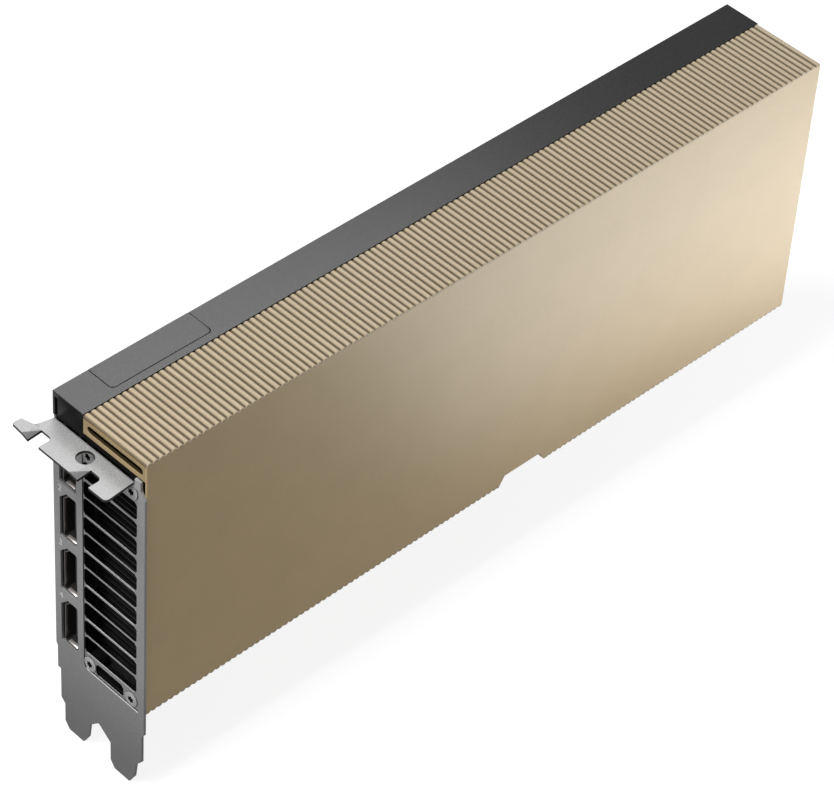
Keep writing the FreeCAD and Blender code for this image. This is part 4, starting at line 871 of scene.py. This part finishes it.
# Wall of the air duct
# A black moulded strip closes the duct between the ribbed cover and the board, from the outlet to
# the relief for the latch.

wall_ends, wall_sides, wall_heights = (-54.5, 78.0), (rail_edge + 0.03, -1.0), (14.7, 15.7)
wall_rounding = 0.15
wall = bmesh.new()
block(wall, wall_ends, wall_sides, wall_heights)
bmesh.ops.bevel(wall, geom=wall.edges, offset=wall_rounding * MM, segments=2, affect="EDGES",
                profile=0.5, material=-1)
wall_mesh = bpy.data.meshes.new("duct_wall")
wall.to_mesh(wall_mesh)
wall.free()
card_piece("duct_wall", wall_mesh, "frame_plastic", frame_plastic)


# Slot bracket
# Plated sheet steel with a fine satin grain, blanked and folded. A shallow panel is pressed into it
# round the vents and two corners of the tab are folded down. Painted light and shade: the steel
# darkens towards the foot and brightens at the tab, up-facing cut faces are painted brighter, and
# the folded corners and some edges and faces in shade are painted darker.

steel = finish("bracket_steel", (0.24, 0.24, 0.24), (0.41, 0.41, 0.41), 0.3, metallic=0.03,
               rough=(0.36, 0.5), bump=0.45, specular=0.3, patches=0.12)
tree = steel.node_tree
bracket_foot, tab_top = -17.5, 104.2
# Painted shade and light: the steel darkens towards the foot of the bracket and brightens over its
# top few millimetres, up to the tab.
steel_height = tree.nodes.new("ShaderNodeMapRange")
steel_height.inputs["From Min"].default_value = bracket_foot * MM
steel_height.inputs["From Max"].default_value = tab_top * MM
tree.links.new(height_in_piece(tree), steel_height.inputs["Value"])
steel_painted_shade = tree.nodes.new("ShaderNodeValToRGB")
painted_shade_tones = steel_painted_shade.color_ramp.elements
painted_shade_tones[0].position, painted_shade_tones[0].color = 0.0, (0.28, 0.28, 0.28, 1.0)
painted_shade_tones[1].position, painted_shade_tones[1].color = 1.0, white
for share, tone in ((0.12, 0.38), (0.38, 0.76), (0.95, 0.76), (0.985, 1.0)):
    painted_shade_tones.new(share).color = (tone, tone, tone, 1.0)
tree.links.new(steel_height.outputs["Result"], steel_painted_shade.inputs["Fac"])
tint(steel, steel_painted_shade.outputs["Color"])
# Painted highlight: a brighter copy of the steel for the up-facing cut faces of the bars and
# ledges.
cut_steel_painted_highlight = finish("cut_steel_painted_highlight", (0.5, 0.5, 0.49), (0.62, 0.62, 0.61), 0.2, metallic=0.05,
                   rough=(0.3, 0.42), bump=0.15, specular=0.4, patches=0.2)
# Painted shade: near-black for faces turned to -Y, a strip along the panel's lower crease and the
# tab's cut edges.
crease_painted_shade = finish("crease_painted_shade", (0.008, 0.008, 0.008), (0.02, 0.02, 0.02), 0.2,
                      rough=(0.5, 0.6), bump=0.15, specular=0.15, patches=0.2)
# Painted shade: a darker copy of the steel for the folded corners of the tab.
folded_painted_shade = finish("folded_painted_shade", (0.09, 0.09, 0.09), (0.17, 0.17, 0.17), 0.3, metallic=0.03,
                      rough=(0.36, 0.5), bump=0.45, specular=0.2, patches=0.3)
painted_highlight_index, painted_crease_shade_index, fold_painted_shade_index = 1, 2, 3

cad_panel_face, cad_panel_back = -59.01, -58.15
panel_face, panel_back = -59.56, -59.31
cad_bracket_edge, bracket_edge, edge_start = -35.86, -35.2, -33.4
panel_sides, panel_end, bar_heights, foot_vent = (-31.6, -9.0), -9.7, (20.0, 96.0), (14.0, 16.3)
vent_split, board_ends, cover_ends, foot_ends = -12.0, 0.35, -0.1, 0.1
bar_step, broad_bar, bar_reach, bar_drop = 13.5, (33.9, 34.64), 0.1, 0.25
marked_depths, marked_sides, marked_heights = (-59.9, -59.25), (-32.5, -9.0), (14.0, 101.0)
foot_ledge, vents_start, slim_bar_top, slim_bar_reach = 14.7, 16.5, 27.6, 0.3
crease_shade_width = 0.5
tab_level, tab_root, tab_fold = 101.5, -60.2, -60.4
corner_folds = (
    ((-69.6, 3.13), (-65.5, 0.42), (0.3, 3.2)),
    ((-69.4, -17.04), (-65.9, -19.85), (-20.0, -16.9)),
)
corner_pull, corner_drop = 0.2, 0.36


def within(value, span):
    """Whether a value lies between the two ends of a span."""
    return span[0] < value < span[1]


def cut_faces(work, faces, distance, point, normal):
    """Cut some of the faces along a plane. Points nearer to it than distance count as on it."""
    parts = dict.fromkeys(part for face in faces for part in (*face.verts, *face.edges, face))
    bmesh.ops.bisect_plane(work, geom=list(parts), dist=distance, plane_co=point, plane_no=normal)


def bend_corner(work, start, end, sides):
    """Fold a corner of the tab down along the line from start to end, both (x, y) on its top."""
    line = Vector((*start, 0)) * MM
    along = Vector((end[0] - start[0], end[1] - start[1], 0)).normalized()
    out = Vector((along.y, -along.x, 0))
    tab = [face for face in work.faces
           if all(v.co.z > tab_level * MM and v.co.x < tab_fold * MM for v in face.verts)]
    cut_faces(work, tab, 0.001 * MM, line, out)
    for corner in work.verts:
        x, y, z = corner.co / MM
        away = (corner.co - line).dot(out)
        if z > tab_level and x < end[0] + hair and within(y, sides) and away > 0.001 * MM:
            corner.co -= out * away * corner_pull + Vector((0, 0, away * corner_drop))
            for face in corner.link_faces:
                face.smooth = False
                # The top faces of a folded corner get the darker copy: painted shade.
                if (face.calc_center_median() - line).dot(out) > 0 and face.normal.z > 0.5:
                    face.material_index = fold_painted_shade_index


def fit_bracket(work):
    """The shallow panel of thinner sheet round the vents, its lowered bars and the bent tab."""
    for corner in work.verts:
        x, y, z = corner.co / MM
        if abs(x - cad_panel_face) < 2 * hair:
            x = panel_face
        elif abs(x - cad_panel_back) < 2 * hair:
            x = panel_back
        if x < panel_back + hair and within(y, panel_sides):
            if within(z, bar_heights):
                y += board_ends if y > vent_split else cover_ends
                if any((z - edge) % bar_step < bar_reach for edge in broad_bar):
                    z -= bar_drop
            elif y > panel_end or within(z, foot_vent) and y > vent_split - hair:
                y += foot_ends
        if y < edge_start:
            y = edge_start + (y - edge_start) * (
                (bracket_edge - edge_start) / (cad_bracket_edge - edge_start))
        corner.co = Vector((x, y, z)) * MM
    panel = [face for face in work.faces
             if all(abs(v.co.x / MM - panel_face) < hair for v in face.verts)]
    crease_shade_top = min(v.co.z for face in panel for v in face.verts) + crease_shade_width * MM
    cut_faces(work, panel, 0.0001 * MM, (0, 0, crease_shade_top), (0, 0, 1))
    work.normal_update()
    for face in work.faces:
        x, y, z = face.calc_center_median() / MM
        if within(x, marked_depths) and within(y, marked_sides) and within(z, marked_heights):
            # Painted highlight on the up-facing cut faces of the bars and ledges, painted shade on
            # faces turned to -Y and along the panel's lower crease.
            on_slim_bar = (z - slim_bar_top) % bar_step < slim_bar_reach
            gets_painted_highlight = z < foot_ledge or z > vents_start and not on_slim_bar
            if face.normal.z > 0.8 and gets_painted_highlight:
                face.material_index = painted_highlight_index
            elif face.normal.y < -0.6 or (x < panel_face + hair and z < crease_shade_top / MM):
                face.material_index = painted_crease_shade_index
        # Painted shade on the tab's cut edges.
        elif z > tab_level and x < tab_root and abs(face.normal.z) < 0.3:
            face.material_index = painted_crease_shade_index
    for start, end, sides in corner_folds:
        bend_corner(work, start, end, sides)


broken_edges("slot_bracket", 0.05, "bracket_steel", steel, cut_steel_painted_highlight, crease_painted_shade, folded_painted_shade,
             reshape=fit_bracket)


# Port numbers
# Small plain numerals printed on the bracket beside the display sockets in pale ink. They read
# along the bracket, from its top socket down.

ink = finish("port_ink", (0.62, 0.62, 0.62), (0.74, 0.74, 0.74), 0.2, rough=(0.45, 0.6), bump=0.1)
ink_face, numeral_height, ink_depth, above_socket = -59.915, 3.3, 0.01, 9.4
along_bracket = Matrix(((0, 0, -1), (-1, 0, 0), (0, 1, 0))).to_4x4()
for number in range(socket_count):
    port = socket_count - number
    numeral = bpy.data.curves.new(f"port_number_{port}", "FONT")
    numeral.body = str(port)
    numeral.size = numeral_height * MM
    numeral.align_x = numeral.align_y = "CENTER"
    numeral.extrude = ink_depth * MM
    numeral.fill_mode = "BOTH"
    drawn = bpy.data.objects.new(numeral.name, numeral)
    drawn_mesh = bpy.data.meshes.new_from_object(drawn)
    middle = socket_foot + socket_pitch * number + above_socket
    drawn_mesh.transform(Matrix.Translation(Vector((ink_face, 0, middle)) * MM) @ along_bracket)
    bpy.data.objects.remove(drawn)
    card_piece(numeral.name, drawn_mesh, "bracket_steel", ink)


# Screws of the bracket
# Four low round-headed steel screws of the same make as those of the back cover. They hold the
# pressed panel to the outlet frame.

screw_steel = finish("screw_steel", (0.34, 0.34, 0.345), (0.44, 0.44, 0.445), 0.15, metallic=0.1,
                     rough=(0.4, 0.5), bump=0.2, specular=0.3)
screw_sides, screw_heights = (-12.0, -29.6), (17.3, 98.2)
screw_heads("bracket_screw_heads", "bracket_screws", "screw_steel", screw_steel,
            [(panel_face, y, z) for y in screw_sides for z in screw_heights],
            out=Vector((-1, 0, 0)), radius=2.4, rise=0.4, depth=0.9, shank=1.2, length=4.06,
            rim=0.16)
